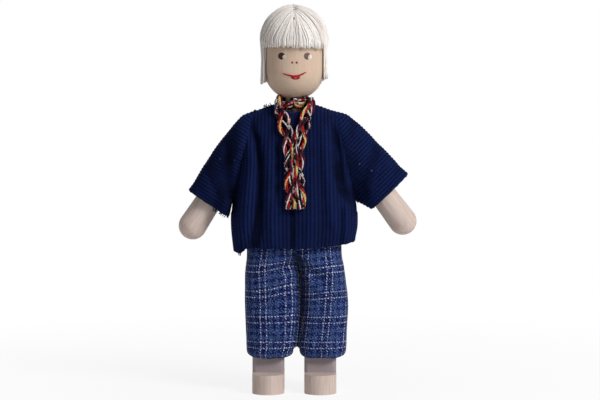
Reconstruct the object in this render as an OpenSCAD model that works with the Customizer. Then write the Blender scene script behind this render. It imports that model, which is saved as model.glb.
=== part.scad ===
// Dressed wooden doll for a doll's house: pegged limbs, a turning head, thread hair,
// a ribbed sweater, checked trousers and a scarf of loose yarn.
// Millimetres, +Z up, the doll faces -Y and its own left side is +X.

/* [Stance] */
// Sideways place of the doll's middle plane, which centres the outstretched arms on the origin
stance_x = -1.1; // [-6:0.1:6]
// Place of the middle plane from front to back, which centres the toes and the hair on the origin
stance_y = 0.3; // [-4:0.1:4]
// Angle of the left arm out from the body at rest
splay_left = 37; // [28:1:60]
// Angle of the right arm out from the body at rest
splay_right = 33; // [28:1:60]

/* [Fits] */
// Radial gap of a glued peg
glue_gap = 0.03; // [0.02:0.01:0.05]
// Radial gap of a turning peg
run_gap = 0.06; // [0.03:0.01:0.1]
// Gap between wooden faces that slide past each other
slide_gap = 0.2; // [0.1:0.05:0.3]
// Gap between pieces of cloth, and between hair and head
cloth_gap = 0.35; // [0.3:0.05:0.6]

/* [Head] */
// Radius of the turned head
head_r = 10; // [8:0.5:12]
// Height of the flat under the head
chin_z = 98.4; // [97:0.1:102]
// Straight length between the head's two round ends
head_straight = 10.2; // [6:0.2:12]
// Radius of the flat under the head
chin_flat_r = 3.6; // [3.4:0.1:5]
// Radius of the neck peg
neck_r = 3; // [2.5:0.1:3.5]
// Depth of the neck peg in the head and in the torso
neck_depth = 7; // [5:0.5:9]

/* [Hair] */
// Thickness of the layer of hair threads
hair_t = 1.35; // [1:0.05:2]
// Height of the cut edge of the fringe
fringe_z = 115.4; // [113:0.1:120]
// Height of the cut edge at the back
nape_z = 103.2; // [101:0.1:108]
// Height of the cut edge of the left side lock
lock_left_z = 105; // [102:0.1:110]
// Height of the cut edge of the right side lock
lock_right_z = 103.2; // [102:0.1:110]
// Half angle of the fringe, seen from above
fringe_angle = 64; // [55:1:70]
// Angle that each side lock covers behind the fringe
lock_angle = 34; // [20:1:45]
// Radius of the stitched parting thread
parting_r = 0.3; // [0.2:0.05:0.4]
// Length of the stitched parting
parting_l = 6; // [4:0.5:10]

/* [Torso] */
// Half width of the torso at the hips
torso_half_w = 10.4; // [9:0.2:11.5]
// Half width of the torso's flat top
torso_top_half_w = 6.4; // [5:0.2:8]
// Depth of the torso from front to back
torso_d = 11; // [10:0.5:12]
// Height of the torso's top
torso_top_z = 92.4; // [90:0.2:94]
// Height where the shoulders start to slope
torso_slope_z = 85; // [83:0.5:87]
// Height of the underside of the hips
torso_low_z = 53.6; // [53:0.1:56]
// Depth of the torso's flat top
torso_top_d = 7.6; // [7:0.2:9]
// Rounding of the torso's upright edges
torso_edge_r = 3; // [1:0.5:4]

/* [Arms] */
// Distance of a shoulder joint from the middle plane
shoulder_x = 13; // [12:0.2:15]
// Height of the shoulder joints
shoulder_z = 88; // [86:0.5:90]
// Radius of the shoulder ball
ball_r = 4; // [3.5:0.1:4.3]
// Thickness of the knuckle that the arm straddles
knuckle_t = 4.2; // [3.6:0.1:4.6]
// Distance from the shoulder joint to the fingertips
arm_l = 43.4; // [40:0.2:50]
// Radius of the arm at the shoulder
arm_r = 3.3; // [3:0.1:3.8]
// Radius of the rounded hand
hand_r = 4.7; // [4:0.05:5.2]
// Radius of the pins that join an arm to its knuckle
arm_pin_r = 0.8; // [0.6:0.05:1]
// Radius of the elastic cord that pulls both shoulders in
elastic_r = 0.8; // [0.6:0.05:1]
// Radius of the knots at the elastic's ends
knot_r = 1.4; // [1.2:0.1:1.6]

/* [Legs] */
// Distance of a leg from the middle plane
leg_x = 8.7; // [8.4:0.1:9.5]
// Width of the thigh
thigh_w = 10; // [9:0.1:10.4]
// Depth of the thigh, which is rounded about the hip and the knee
thigh_d = 9.2; // [8:0.1:9.4]
// Height of the hip axle
hip_z = 48.7; // [48:0.1:49]
// Height of the knee pins
knee_z = 27; // [25:0.5:30]
// Radius of the hip axle
hip_r = 1.6; // [1.2:0.1:2]
// Radius of the caps on the hip axle
cap_r = 2.4; // [2.2:0.1:3]
// Room between the hip axle's ends and the trousers
hip_room = 1.5; // [1.2:0.1:2]
// Thickness of the caps on the hip axle
cap_t = 1; // [0.8:0.1:1.2]
// Radius of the knee pins
knee_r = 1.1; // [0.9:0.1:1.4]
// Thickness of the shin's tongue in the knee
tongue_t = 4; // [3:0.2:5]
// Width of the shin and the foot
foot_w = 10.7; // [9:0.1:11]
// Depth of the shin
shin_d = 9; // [8:0.2:10]
// Length of the foot
foot_l = 18.5; // [16:0.5:21]
// Height of the foot
foot_h = 6.5; // [5:0.1:8]
// How far the heel reaches behind the shin's axis
heel = 6.3; // [5:0.1:7]
// Rounding of the legs' upright edges
leg_edge_r = 1.4; // [0.8:0.1:2]
// Radius of the ankle pegs
ankle_r = 1.5; // [1:0.1:2]
// Depth of an ankle peg in the foot and in the shin
ankle_depth = 4.5; // [3:0.5:5]

/* [Sweater] */
// Thickness of the ribbed cloth
knit_t = 1; // [0.7:0.1:1.2]
// Height of the hem
hem_z = 48.4; // [46:0.2:50]
// Height of the armpits
armpit_z = 63.6; // [60:0.2:66]
// Height of the shoulder seams beside the neck
seam_z = 96.4; // [95:0.1:97]
// Drop of the shoulder seam from the neck to the armhole
seam_drop = 2.2; // [1:0.1:3]
// Rise of the hem towards the left side, and its fall towards the right
hem_tilt = 1.9; // [0:0.1:2.5]
// Half width at the hem
hem_half_w = 20.2; // [18.6:0.2:22]
// Half depth below the armpits
body_half_d = 10.8; // [10.4:0.1:13]
// Radius of the neck opening
collar_r = 6.9; // [6.6:0.1:8]
// Drop of the neck opening at the front and the back
collar_drop = 2.4; // [1:0.1:3]
// Depth of the soft folds that hang below the chest
fold_d = 0.55; // [0:0.05:0.7]
// Length of a sleeve from the shoulder joint to the cuff
sleeve_l = 28.4; // [24:0.2:31]
// Half width of a cuff
cuff_half_w = 7.5; // [6.8:0.1:9]
// Half depth of a sleeve from front to back
sleeve_half_d = 6.4; // [6:0.1:7.5]
// Half depth of a sleeve at the armhole
armhole_half_d = 7; // [6.4:0.1:7.6]
// How far the cuff hangs towards the upper side of the arm
cuff_rise = 1.8; // [0:0.1:2.4]

/* [Trousers] */
// Thickness of the woven cloth
weave_t = 0.8; // [0.5:0.1:1]
// Height of the waist
waist_z = 59; // [57:0.2:62]
// Height of the crotch
crotch_z = 46; // [45:0.1:46.4]
// Half width of the waist
waist_half_w = 14.6; // [14:0.1:16]
// Half width of the hips
seat_half_w = 16.7; // [16.4:0.1:17.4]
// Half depth of the hips
seat_half_d = 8.9; // [8.4:0.1:9.2]
// Half width of a trouser leg
leg_half_w = 8.4; // [7.6:0.1:8.45]
// Half depth of a trouser leg
leg_half_d = 8.6; // [7.6:0.1:9]
// Half width of a turned trouser hem
cuff_leg_half_w = 7.3; // [6.8:0.1:8]
// Height of the trouser hems
trouser_hem_z = 11.6; // [9:0.2:16]
// Width and thickness of the elastic in the waist
waist_elastic = [2.4, 0.7]; // [0.5:0.1:3]

/* [Scarf] */
// Radius of the twisted yarn scarf
scarf_r = 1; // [0.7:0.05:1.05]

/* [Hidden] */
$fn = 64;
left = 1;
right = -1;
cloth_square = 2.8;
tiny = 0.01;

// Heights of the head's two round ends, from the flat under the chin
chin_ball_z = chin_z + sqrt(head_r * head_r - chin_flat_r * chin_flat_r);
crown_ball_z = chin_ball_z + head_straight;
crown_z = crown_ball_z + head_r;
hair_in_r = head_r + cloth_gap / 2;
hair_out_r = hair_in_r + hair_t;

// Reach of the knuckle's slot, of the thigh's ears and of the shin's tongue about their pins
slot_r = ball_r + slide_gap;
ear_r = thigh_d / 2;
tongue_r = ear_r - slide_gap;
shin_top_z = knee_z - ear_r - 2 * slide_gap;
hip_reach = seat_half_w - weave_t - hip_room;
hip_tongue_half_w = leg_x - thigh_w / 2 - slide_gap;
hip_tongue_low_z = hip_z - hip_r - 1;
knee_cloth_z = knee_z + cloth_gap / 2;
hip_cloth_z = crotch_z - cloth_gap;

// Colours as the doll shows them
wood = "burlywood";
pale_wood = "wheat";
thread_white = "linen";
navy = "midnightblue";
check_blue = "slateblue";
yarn_red = "firebrick";

// Everything stands on its stance
module stand() translate([stance_x, stance_y, 0]) children();

// A rod along X, centred
module rod_x(r, l) rotate([0, 90, 0]) cylinder(r = r, h = l, center = true);

// A rod along Y, centred
module rod_y(r, l) rotate([90, 0, 0]) cylinder(r = r, h = l, center = true);

// A rectangle with round corners, centred
module round_rect(w, d, r) {
    square([w - 2 * r, d], center = true);
    square([w, d - 2 * r], center = true);
    for (sx = [-1, 1], sy = [-1, 1])
        translate([sx * (w / 2 - r), sy * (d / 2 - r)]) circle(r = r);
}

// Smooth step from 0 to 1
function ease(t) = let (c = min(max(t, 0), 1)) c * c * (3 - 2 * c);
function mix(a, b, t) = a + (b - a) * t;
// One coordinate of a squared oval
function squared(v) = sign(v) * pow(abs(v), 2 / cloth_square);
// A squared oval of n points about a point
function oval(c, a, b, n) = [
    for (i = [0 : n - 1])
        let (t = 360 * i / n) [c[0] + a * squared(cos(t)), c[1] + b * squared(sin(t)), c[2]]
];

// Triangles between two rows of points in one flat list, each row n long
function strip(row_a, row_b, n, wrap) = [
    for (j = [0 : n - (wrap ? 1 : 2)])
        let (k = (j + 1) % n)
        each [[row_a + j, row_b + k, row_a + k], [row_a + j, row_b + j, row_b + k]]
];
function flip(faces) = [for (f = faces) [f[2], f[1], f[0]]];

// A wall of cloth between an outer and an inner skin, each a list of rows of points.
// With wrap the rows close into rings, and without it the wall is an open sheet.
module wall(outer, inner, wrap) {
    rows = len(outer);
    n = len(outer[0]);
    half = rows * n;
    points = concat([for (r = outer) each r], [for (r = inner) each r]);
    skin_out = [for (i = [0 : rows - 2]) each strip(i * n, (i + 1) * n, n, wrap)];
    skin_in = flip([for (i = [0 : rows - 2]) each strip(half + i * n, half + (i + 1) * n, n, wrap)]);
    rim_low = flip(strip(0, half, n, wrap));
    rim_high = strip((rows - 1) * n, half + (rows - 1) * n, n, wrap);
    sides = wrap ? [] : [
        for (i = [0 : rows - 2])
            let (a = i * n, b = a + n, c = a + n - 1, d = b + n - 1)
            each [
                [a, half + a, half + b], [a, half + b, b],
                [c, half + d, half + c], [c, d, half + d]
            ]
    ];
    polyhedron(points, concat(skin_out, skin_in, rim_low, rim_high, sides));
}

// A round tube swept along a route, with flat ends
module swept(route, r, sides) {
    last = len(route) - 1;
    rings = [
        for (i = [0 : last])
            let (
                t = unit(route[min(i + 1, last)] - route[max(i - 1, 0)]),
                side = unit(cross(t, abs(t[1]) < 0.9 ? [0, 1, 0] : [1, 0, 0])),
                up = cross(t, side)
            )
            [for (k = [0 : sides - 1])
                let (w = 360 * k / sides) route[i] + r * (cos(w) * side + sin(w) * up)]
    ];
    walls = [for (i = [0 : last - 1]) each strip(i * sides, (i + 1) * sides, sides, true)];
    start = [for (k = [1 : sides - 2]) [0, k, k + 1]];
    end = [for (k = [1 : sides - 2]) [last * sides, last * sides + k + 1, last * sides + k]];
    polyhedron([for (r = rings) each r], flip(concat(walls, start, end)));
}
function unit(v) = v / norm(v);

// Torso: one planed block with the hip tongue below, the shoulder dishes at the sides
module torso() {
    color(wood) difference() {
        intersection() {
            rotate([90, 0, 0]) linear_extrude(torso_d, center = true) polygon([
                [-torso_half_w, torso_low_z], [-torso_half_w, torso_slope_z],
                [-torso_top_half_w, torso_top_z], [torso_top_half_w, torso_top_z],
                [torso_half_w, torso_slope_z], [torso_half_w, torso_low_z],
                [hip_tongue_half_w, torso_low_z], [hip_tongue_half_w, hip_tongue_low_z],
                [-hip_tongue_half_w, hip_tongue_low_z], [-hip_tongue_half_w, torso_low_z]
            ]);
            linear_extrude(torso_top_z + 1) round_rect(2 * torso_half_w, torso_d, torso_edge_r);
            rotate([90, 0, 90]) linear_extrude(4 * torso_half_w, center = true) polygon([
                [-torso_d / 2, 0], [-torso_d / 2, torso_slope_z],
                [-torso_top_d / 2, torso_top_z], [torso_top_d / 2, torso_top_z],
                [torso_d / 2, torso_slope_z], [torso_d / 2, 0]
            ]);
        }
        for (side = [left, right])
            translate([side * shoulder_x, 0, shoulder_z]) sphere(r = ball_r + slide_gap);
        translate([0, 0, shoulder_z]) rod_x(elastic_r + slide_gap, 4 * torso_half_w);
        translate([0, 0, hip_z]) rod_x(hip_r + glue_gap, 4 * torso_half_w);
        translate([0, 0, torso_top_z - neck_depth]) cylinder(r = neck_r + glue_gap, h = neck_depth + 1);
    }
}

// Neck peg, glued in the torso and free in the head, with a cross hole for the elastic
module neck_peg() {
    low_z = torso_top_z - neck_depth + glue_gap;
    color(pale_wood) difference() {
        translate([0, 0, low_z]) cylinder(r = neck_r, h = chin_z + neck_depth - slide_gap - low_z);
        translate([0, 0, shoulder_z]) rod_x(elastic_r + slide_gap, 4 * neck_r);
    }
}

// Elastic cord through both shoulders
module shoulder_elastic() {
    reach = shoulder_x + ball_r - 2 * knot_r;
    color("ivory") translate([0, 0, shoulder_z]) rod_x(elastic_r, 2 * reach);
}

// Knots that stop the elastic in the knuckles
module shoulder_knots() {
    color("ivory") for (side = [left, right])
        translate([side * (shoulder_x + ball_r - knot_r), 0, shoulder_z]) sphere(r = knot_r);
}

// Hip axle, glued in the torso's tongue
module hip_axle() {
    color(pale_wood) translate([0, 0, hip_z]) rod_x(hip_r, 2 * hip_reach);
}

// Caps glued on the hip axle
module hip_caps() {
    color(pale_wood) for (side = [left, right])
        translate([side * (hip_reach - cap_t / 2), 0, hip_z]) difference() {
            rod_x(cap_r, cap_t);
            rod_x(hip_r + glue_gap, 2 * cap_t);
        }
}

// Head, turned with two round ends, bored for the neck
module head() {
    color(wood) difference() {
        union() {
            translate([0, 0, chin_ball_z]) sphere(r = head_r);
            translate([0, 0, chin_ball_z]) cylinder(r = head_r, h = head_straight);
            translate([0, 0, crown_ball_z]) sphere(r = head_r);
        }
        translate([0, 0, chin_z - 2 * head_r]) cylinder(r = 2 * head_r, h = 2 * head_r);
        translate([0, 0, chin_z - 1]) cylinder(r = neck_r + run_gap, h = neck_depth + 1);
    }
}

// The layer of threads over the head, cut off below a height
module hair_layer(low_z) {
    top_z = crown_ball_z + hair_out_r + 1;
    difference() {
        union() {
            translate([0, 0, crown_ball_z]) sphere(r = hair_out_r);
            translate([0, 0, chin_z]) cylinder(r = hair_out_r, h = crown_ball_z - chin_z);
        }
        translate([0, 0, crown_ball_z]) sphere(r = hair_in_r);
        translate([0, 0, chin_z - 1]) cylinder(r = hair_in_r, h = crown_ball_z - chin_z + 1);
        translate([0, 0, low_z - top_z]) cylinder(r = 2 * hair_out_r, h = top_z);
    }
}

// A wedge about the head's axis from one angle to another, measured from the face towards +X
module hair_wedge(from, to) {
    far = 3 * hair_out_r;
    steps = ceil((to - from) / 60);
    linear_extrude(crown_ball_z + far) polygon(concat(
        [[0, 0]],
        [for (i = [0 : steps]) let (t = mix(from, to, i / steps)) [far * sin(t), -far * cos(t)]]
    ));
}

gap_angle = atan(cloth_gap / hair_out_r);

// Fringe over the forehead
module hair_fringe() {
    color(thread_white) intersection() {
        hair_layer(fringe_z);
        hair_wedge(-fringe_angle, fringe_angle);
    }
}

// Side lock in front of the ear
module hair_lock(side) {
    from = fringe_angle + gap_angle / 2;
    to = fringe_angle + lock_angle;
    color(thread_white) intersection() {
        hair_layer(side == left ? lock_left_z : lock_right_z);
        if (side == left) hair_wedge(from, to); else hair_wedge(-to, -from);
    }
}

// Hair at the back, down to the nape
module hair_back() {
    from = fringe_angle + lock_angle + gap_angle / 2;
    color(thread_white) intersection() {
        hair_layer(nape_z);
        hair_wedge(from, 360 - from);
    }
}

// Thread stitched along the crown, which holds the hair's parting
module parting_stitch() {
    seat_r = hair_out_r + parting_r + tiny;
    color(pale_wood) translate([0, 0, crown_ball_z]) intersection() {
        rotate([0, 90, 0]) rotate_extrude() translate([seat_r, 0]) circle(r = parting_r, $fn = 24);
        translate([-1, -parting_l / 2, 0]) cube([2, parting_l, 2 * seat_r]);
    }
}

// Places a shoulder piece at its joint
module at_shoulder(side) translate([side * shoulder_x, 0, shoulder_z]) children();

// Turns a piece that hangs straight down out to the arm's angle at rest
module splayed(side) rotate([0, side == left ? -splay_left : splay_right, 0]) children();

// Knuckle: a slice of the shoulder ball, drilled for the elastic, its knot and the arm's pins
module shoulder_knuckle(side) {
    color(pale_wood) at_shoulder(side) rotate([0, 0, side == left ? 180 : 0]) difference() {
        intersection() {
            sphere(r = ball_r);
            cube([3 * ball_r, knuckle_t, 3 * ball_r], center = true);
        }
        rod_x(elastic_r + slide_gap, 3 * ball_r);
        translate([2 * knot_r - 2 * ball_r, 0, 0]) rod_x(knot_r + slide_gap, 2 * ball_r);
        rod_y(arm_pin_r + run_gap, 3 * ball_r);
    }
}

// Arm: ball with a slot for the knuckle, swelling to a rounded hand
module arm(side) {
    hand_at = arm_l - hand_r;
    color(wood) at_shoulder(side) splayed(side) difference() {
        union() {
            sphere(r = ball_r);
            translate([0, 0, -hand_at]) cylinder(r1 = hand_r, r2 = arm_r, h = hand_at);
            translate([0, 0, -hand_at]) sphere(r = hand_r);
        }
        rod_y(slot_r, knuckle_t + 2 * slide_gap);
        rod_y(arm_pin_r + glue_gap, 3 * ball_r);
    }
}

// The two pins that join an arm to its knuckle
module arm_pins(side) {
    from = elastic_r + 2 * slide_gap;
    to = sqrt(ball_r * ball_r - arm_pin_r * arm_pin_r) - slide_gap;
    color("tan") at_shoulder(side) for (face = [-1, 1])
        translate([0, face * (from + to) / 2, 0]) rod_y(arm_pin_r, to - from);
}

// Thigh: rounded about the hip axle, with a seat for its cap, and two ears at the knee
module thigh(side) {
    slot_w = tongue_t + 2 * slide_gap;
    cap_seat = leg_x + thigh_w / 2 - hip_reach + cap_t + slide_gap;
    color(wood) translate([side * leg_x, 0, 0]) difference() {
        union() {
            translate([0, 0, knee_z]) rod_x(ear_r, thigh_w);
            translate([0, 0, hip_z]) rod_x(ear_r, thigh_w);
            translate([-thigh_w / 2, -ear_r, knee_z]) cube([thigh_w, thigh_d, hip_z - knee_z]);
        }
        translate([0, 0, hip_z]) rod_x(hip_r + run_gap, 2 * thigh_w);
        translate([0, 0, knee_z]) rod_x(knee_r + glue_gap, 2 * thigh_w);
        translate([0, 0, knee_z]) rod_x(ear_r + slide_gap, slot_w);
        translate([-slot_w / 2, 0, knee_z]) cube([slot_w, thigh_d, ear_r + slide_gap]);
        translate([side * (thigh_w / 2 - cap_seat), 0, hip_z]) rotate([0, side * 90, 0])
            cylinder(r = cap_r + slide_gap, h = thigh_w);
    }
}

// Pin through the knee
module knee_pin(side) {
    color("tan") translate([side * leg_x, 0, knee_z]) rod_x(knee_r, thigh_w - 2 * slide_gap);
}

// Shin: a squared post with a round tongue that turns in the knee
module shin(side) {
    color(wood) translate([side * leg_x, 0, 0]) difference() {
        union() {
            translate([0, 0, foot_h]) linear_extrude(shin_top_z - foot_h)
                round_rect(foot_w, shin_d, leg_edge_r);
            translate([0, 0, knee_z]) rod_x(tongue_r, tongue_t);
            translate([-tongue_t / 2, -tongue_r, shin_top_z - tiny])
                cube([tongue_t, 2 * tongue_r, knee_z - shin_top_z + tiny]);
        }
        translate([0, 0, knee_z]) rod_x(knee_r + run_gap, 2 * foot_w);
        translate([0, 0, foot_h - 1]) cylinder(r = ankle_r + glue_gap, h = ankle_depth + 1);
    }
}

// Foot: a flat block with a round toe, bored for the ankle peg
module foot(side) {
    toe_r = foot_w / 2;
    toe_y = heel - foot_l + toe_r;
    color(pale_wood) translate([side * leg_x, 0, 0]) difference() {
        linear_extrude(foot_h) union() {
            translate([0, toe_y]) circle(r = toe_r);
            translate([-toe_r, toe_y]) square([foot_w, heel - toe_y - leg_edge_r]);
            translate([0, heel - foot_w / 2]) round_rect(foot_w, foot_w, leg_edge_r);
        }
        translate([0, 0, foot_h - ankle_depth]) cylinder(r = ankle_r + glue_gap, h = ankle_depth + 1);
    }
}

// Peg between shin and foot
module ankle_peg(side) {
    color("tan") translate([side * leg_x, 0, foot_h - ankle_depth + glue_gap])
        cylinder(r = ankle_r, h = 2 * (ankle_depth - glue_gap));
}

// Sweater panel. Rows run up from the hem, and u runs across from -1 to 1.
// Each row gives its height, half width, half depth and the angle that it wraps round the body.
sweater_columns = 20;
armhole_half_w = shoulder_x + 0.6 * knit_t;
armhole_low_half_w = hem_half_w - knit_t;
armhole_angle = 54;
armhole_widen = 1 / squared(sin(armhole_angle));
armhole_top_z = seam_z - seam_drop;
function armhole_share(z) = (z - armpit_z) / (armhole_top_z - armpit_z);
function armhole_w(z) = mix(armhole_low_half_w, armhole_half_w, armhole_share(z)) * armhole_widen;
armhole_row_z = [
    armpit_z + 1.2 * knit_t, mix(armpit_z, shoulder_z, 0.5),
    shoulder_z - 2 * knit_t, shoulder_z + 1.6 * knit_t
];
sweater_rows = [
    [hem_z, hem_half_w, body_half_d, 90],
    [mix(hem_z, armpit_z, 0.5), hem_half_w + 0.3 * knit_t, body_half_d, 90],
    [armpit_z, hem_half_w + 0.3 * knit_t, body_half_d - 0.1 * knit_t, 90],
    [armhole_row_z[0], armhole_w(armhole_row_z[0]), body_half_d - 0.2 * knit_t, armhole_angle],
    [armhole_row_z[1], armhole_w(armhole_row_z[1]), body_half_d - 0.4 * knit_t, armhole_angle],
    [armhole_row_z[2], armhole_w(armhole_row_z[2]), body_half_d - knit_t, armhole_angle],
    [armhole_row_z[3], armhole_w(armhole_row_z[3]), body_half_d - 2.2 * knit_t, armhole_angle]
];

// Fold that swells the cloth below the chest, with its hollows between
function fold(u, z) = fold_d * cos(360 * 2.5 * u + 40) * (1 - ease((z - hem_z) / (shoulder_z - hem_z)));

// A point of the panel on one of its lower rows. The lowest row leans, one way on each panel.
function sweater_point(row, u, t, lean) =
    let (
        angle = u * row[3],
        swell = fold(u, row[0]) * cos(90 * u) - t,
        rise = row[0] == hem_z ? lean * hem_tilt * sin(90 * u) : 0
    )
    [
        (row[1] - t) * squared(sin(angle)),
        -(row[2] + swell) * squared(cos(angle)) - cloth_gap / 2,
        row[0] + rise
    ];

// The top edge: half the neck opening, then the shoulder seams
neck_share = 0.5;
function sweater_top(u, t) =
    let (
        s = abs(u),
        along = (s - neck_share) / (1 - neck_share),
        turn = 90 * min(s / neck_share, 1)
    )
    [
        sign(u) * (s < neck_share ? collar_r * sin(turn) : mix(collar_r, armhole_half_w, along)),
        -collar_r * cos(turn) - cloth_gap / 2 - knit_t * (1 - cos(turn)) + t,
        seam_z - (s < neck_share ? collar_drop * cos(turn) : seam_drop * along) - t * (1 - cos(turn))
    ];

function sweater_skin(t, lean) = concat(
    [for (row = sweater_rows) [for (j = [0 : sweater_columns])
        sweater_point(row, 2 * j / sweater_columns - 1, t, lean)]],
    [[for (j = [0 : sweater_columns]) sweater_top(2 * j / sweater_columns - 1, t)]]
);

module sweater_front() color(navy) wall(sweater_skin(0, 1), sweater_skin(knit_t, 1), false);
module sweater_back() color(navy) rotate([0, 0, 180])
    wall(sweater_skin(0, -1), sweater_skin(knit_t, -1), false);

// Sleeve: ovals from the armhole to the cuff, each from a top point to a bottom point
sleeve_sides = 24;
function sleeve_ring(top, low, depth, t) =
    let (c = (top + low) / 2, h = (top - low) / 2, along = unit(h), a = norm(h) - t)
    [for (i = [0 : sleeve_sides - 1])
        let (w = 360 * i / sleeve_sides)
        c + along * a * squared(cos(w)) + [0, (depth - t) * squared(sin(w)), 0]];

function sleeve_skin(splay, t) =
    let (
        out = [sin(splay), 0, -cos(splay)],
        rise = [cos(splay), 0, sin(splay)],
        joint = [shoulder_x, 0, shoulder_z],
        cuff = joint + sleeve_l * out + cuff_rise * rise,
        start_x = armhole_half_w + cloth_gap,
        start_low_x = armhole_low_half_w + cloth_gap,
        armpit_top_z = armpit_z + 2 * cloth_gap,
        shoulder_top = [start_x + 3.6 * knit_t, 0, armhole_top_z - knit_t],
        underarm = [hem_half_w + 1.6 * knit_t, 0, armpit_top_z]
    )
    [
        sleeve_ring([start_x, 0, armhole_top_z], [start_low_x, 0, armpit_top_z], armhole_half_d, t),
        sleeve_ring(shoulder_top, underarm, sleeve_half_d + 0.3 * knit_t, t),
        sleeve_ring(
            mix(shoulder_top, cuff + cuff_half_w * rise, 0.5),
            mix(underarm, cuff - cuff_half_w * rise, 0.5), sleeve_half_d + 0.4 * knit_t, t
        ),
        sleeve_ring(cuff + cuff_half_w * rise, cuff - cuff_half_w * rise, sleeve_half_d, t)
    ];

module sleeve(side) {
    splay = side == left ? splay_left : splay_right;
    color(navy) mirror([side == left ? 0 : 1, 0, 0])
        wall(sleeve_skin(splay, 0), sleeve_skin(splay, knit_t), true);
}

// Trousers above the crotch
seat_sides = 32;
seat_rows = [
    [crotch_z, seat_half_w, seat_half_d],
    [mix(crotch_z, waist_z, 0.45), seat_half_w - 0.3, seat_half_d - 0.1],
    [waist_z - 2, waist_half_w + 0.4, seat_half_d - 0.5],
    [waist_z, waist_half_w, seat_half_d - 0.7]
];
function seat_skin(t) = [for (row = seat_rows) oval([0, 0, row[0]], row[1] - t, row[2] - t, seat_sides)];
module trouser_seat() color(check_blue) wall(seat_skin(0), seat_skin(weave_t), true);

// Elastic band inside the waist
module waist_band() {
    high = waist_z - 0.6;
    grow = weave_t + cloth_gap;
    function band(t) = [for (z = [high - waist_elastic[0], high])
        oval([0, 0, z], waist_half_w - grow - t, seat_half_d - 0.7 - grow - t, seat_sides)];
    color("ivory") wall(band(0), band(waist_elastic[1]), true);
}

// One stretch of trouser leg, from a list of [height, half width, half depth]
leg_sides = 24;
module trouser_tube(side, rows) {
    function skin(t) = [for (row = rows)
        oval([side * leg_x, 0, row[0]], row[1] - t, row[2] - t, leg_sides)];
    color(check_blue) wall(skin(0), skin(weave_t), true);
}
module trouser_thigh(side) trouser_tube(side, [
    [knee_cloth_z, leg_half_w, leg_half_d - 0.3],
    [mix(knee_cloth_z, hip_cloth_z, 0.5), leg_half_w, leg_half_d],
    [hip_cloth_z, leg_half_w - 0.2, leg_half_d]
]);
module trouser_shin(side) trouser_tube(side, [
    [trouser_hem_z, cuff_leg_half_w, leg_half_d - 1.2],
    [trouser_hem_z + 2.2, leg_half_w - 0.2, leg_half_d - 0.5],
    [knee_cloth_z - cloth_gap, leg_half_w, leg_half_d - 0.3]
]);

// Scarf route: up the right tail, one and a half times round the neck, down the left tail
scarf_route = [
    [-1.7, -12.9, 62], [-1.6, -13.1, 70], [-1.6, -12.9, 78], [-2.2, -12.3, 86], [-3.8, -10.6, 91.6],
    [-5, -8.2, 95.4], [-5.5, -5.5, 97], [-5, -2.8, 97.3],
    [-4.5, 0, 97.3], [-3.2, 3.2, 97.3], [0, 4.5, 97.3], [3.2, 3.2, 97.3], [4.5, 0, 97.3],
    [3.2, -3.2, 96.9], [0, -4.5, 96], [-3.2, -3.2, 95.2],
    [-4.5, 0, 94.7], [-3.2, 3.2, 94.7], [0, 4.5, 94.7], [3.2, 3.2, 94.7], [4.5, 0, 94.7],
    [5, -1.8, 95.1], [5.8, -4.3, 96.8], [5.3, -7.6, 95.8],
    [3.8, -10.6, 91.6], [2.2, -12.3, 86], [1.6, -12.9, 78], [1.6, -13.1, 70], [1.7, -12.9, 62]
];
// Points set close along the route, and the least gap between stretches that lie apart on it
scarf_points = [
    for (i = [0 : len(scarf_route) - 2], k = [0 : 3]) mix(scarf_route[i], scarf_route[i + 1], k / 4)
];
apart = 20;
scarf_gap = min([
    for (i = [0 : len(scarf_points) - apart - 1], k = [i + apart : len(scarf_points) - 1])
        norm(scarf_points[i] - scarf_points[k])
]) - 2 * scarf_r;
module scarf() {
    echo(scarf_least_gap = scarf_gap);
    color(yarn_red) swept(scarf_route, scarf_r, 8);
}

stand() torso();
stand() neck_peg();
stand() shoulder_elastic();
stand() shoulder_knots();
stand() hip_axle();
stand() hip_caps();
stand() sweater_front();
stand() sweater_back();
stand() trouser_seat();
stand() waist_band();  // waist_elastic
stand() scarf();
stand() head();
stand() hair_fringe();
stand() hair_back();
stand() hair_lock(left);  // hair_lock_left
stand() hair_lock(right);  // hair_lock_right
stand() parting_stitch();
stand() shoulder_knuckle(left);  // shoulder_knuckle_left
stand() shoulder_knuckle(right);  // shoulder_knuckle_right
stand() arm(left);  // arm_left
stand() arm(right);  // arm_right
stand() arm_pins(left);  // arm_pins_left
stand() arm_pins(right);  // arm_pins_right
stand() sleeve(left);  // sleeve_left
stand() sleeve(right);  // sleeve_right
stand() thigh(left);  // thigh_left
stand() thigh(right);  // thigh_right
stand() knee_pin(left);  // knee_pin_left
stand() knee_pin(right);  // knee_pin_right
stand() trouser_thigh(left);  // trouser_thigh_left
stand() trouser_thigh(right);  // trouser_thigh_right
stand() shin(left);  // shin_left
stand() shin(right);  // shin_right
stand() foot(left);  // foot_left
stand() foot(right);  // foot_right
stand() ankle_peg(left);  // ankle_peg_left
stand() ankle_peg(right);  // ankle_peg_right
stand() trouser_shin(left);  // trouser_shin_left
stand() trouser_shin(right);  // trouser_shin_right
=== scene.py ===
import bmesh
import bpy
import math
import random
from functools import cache
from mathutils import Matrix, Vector, noise


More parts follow.
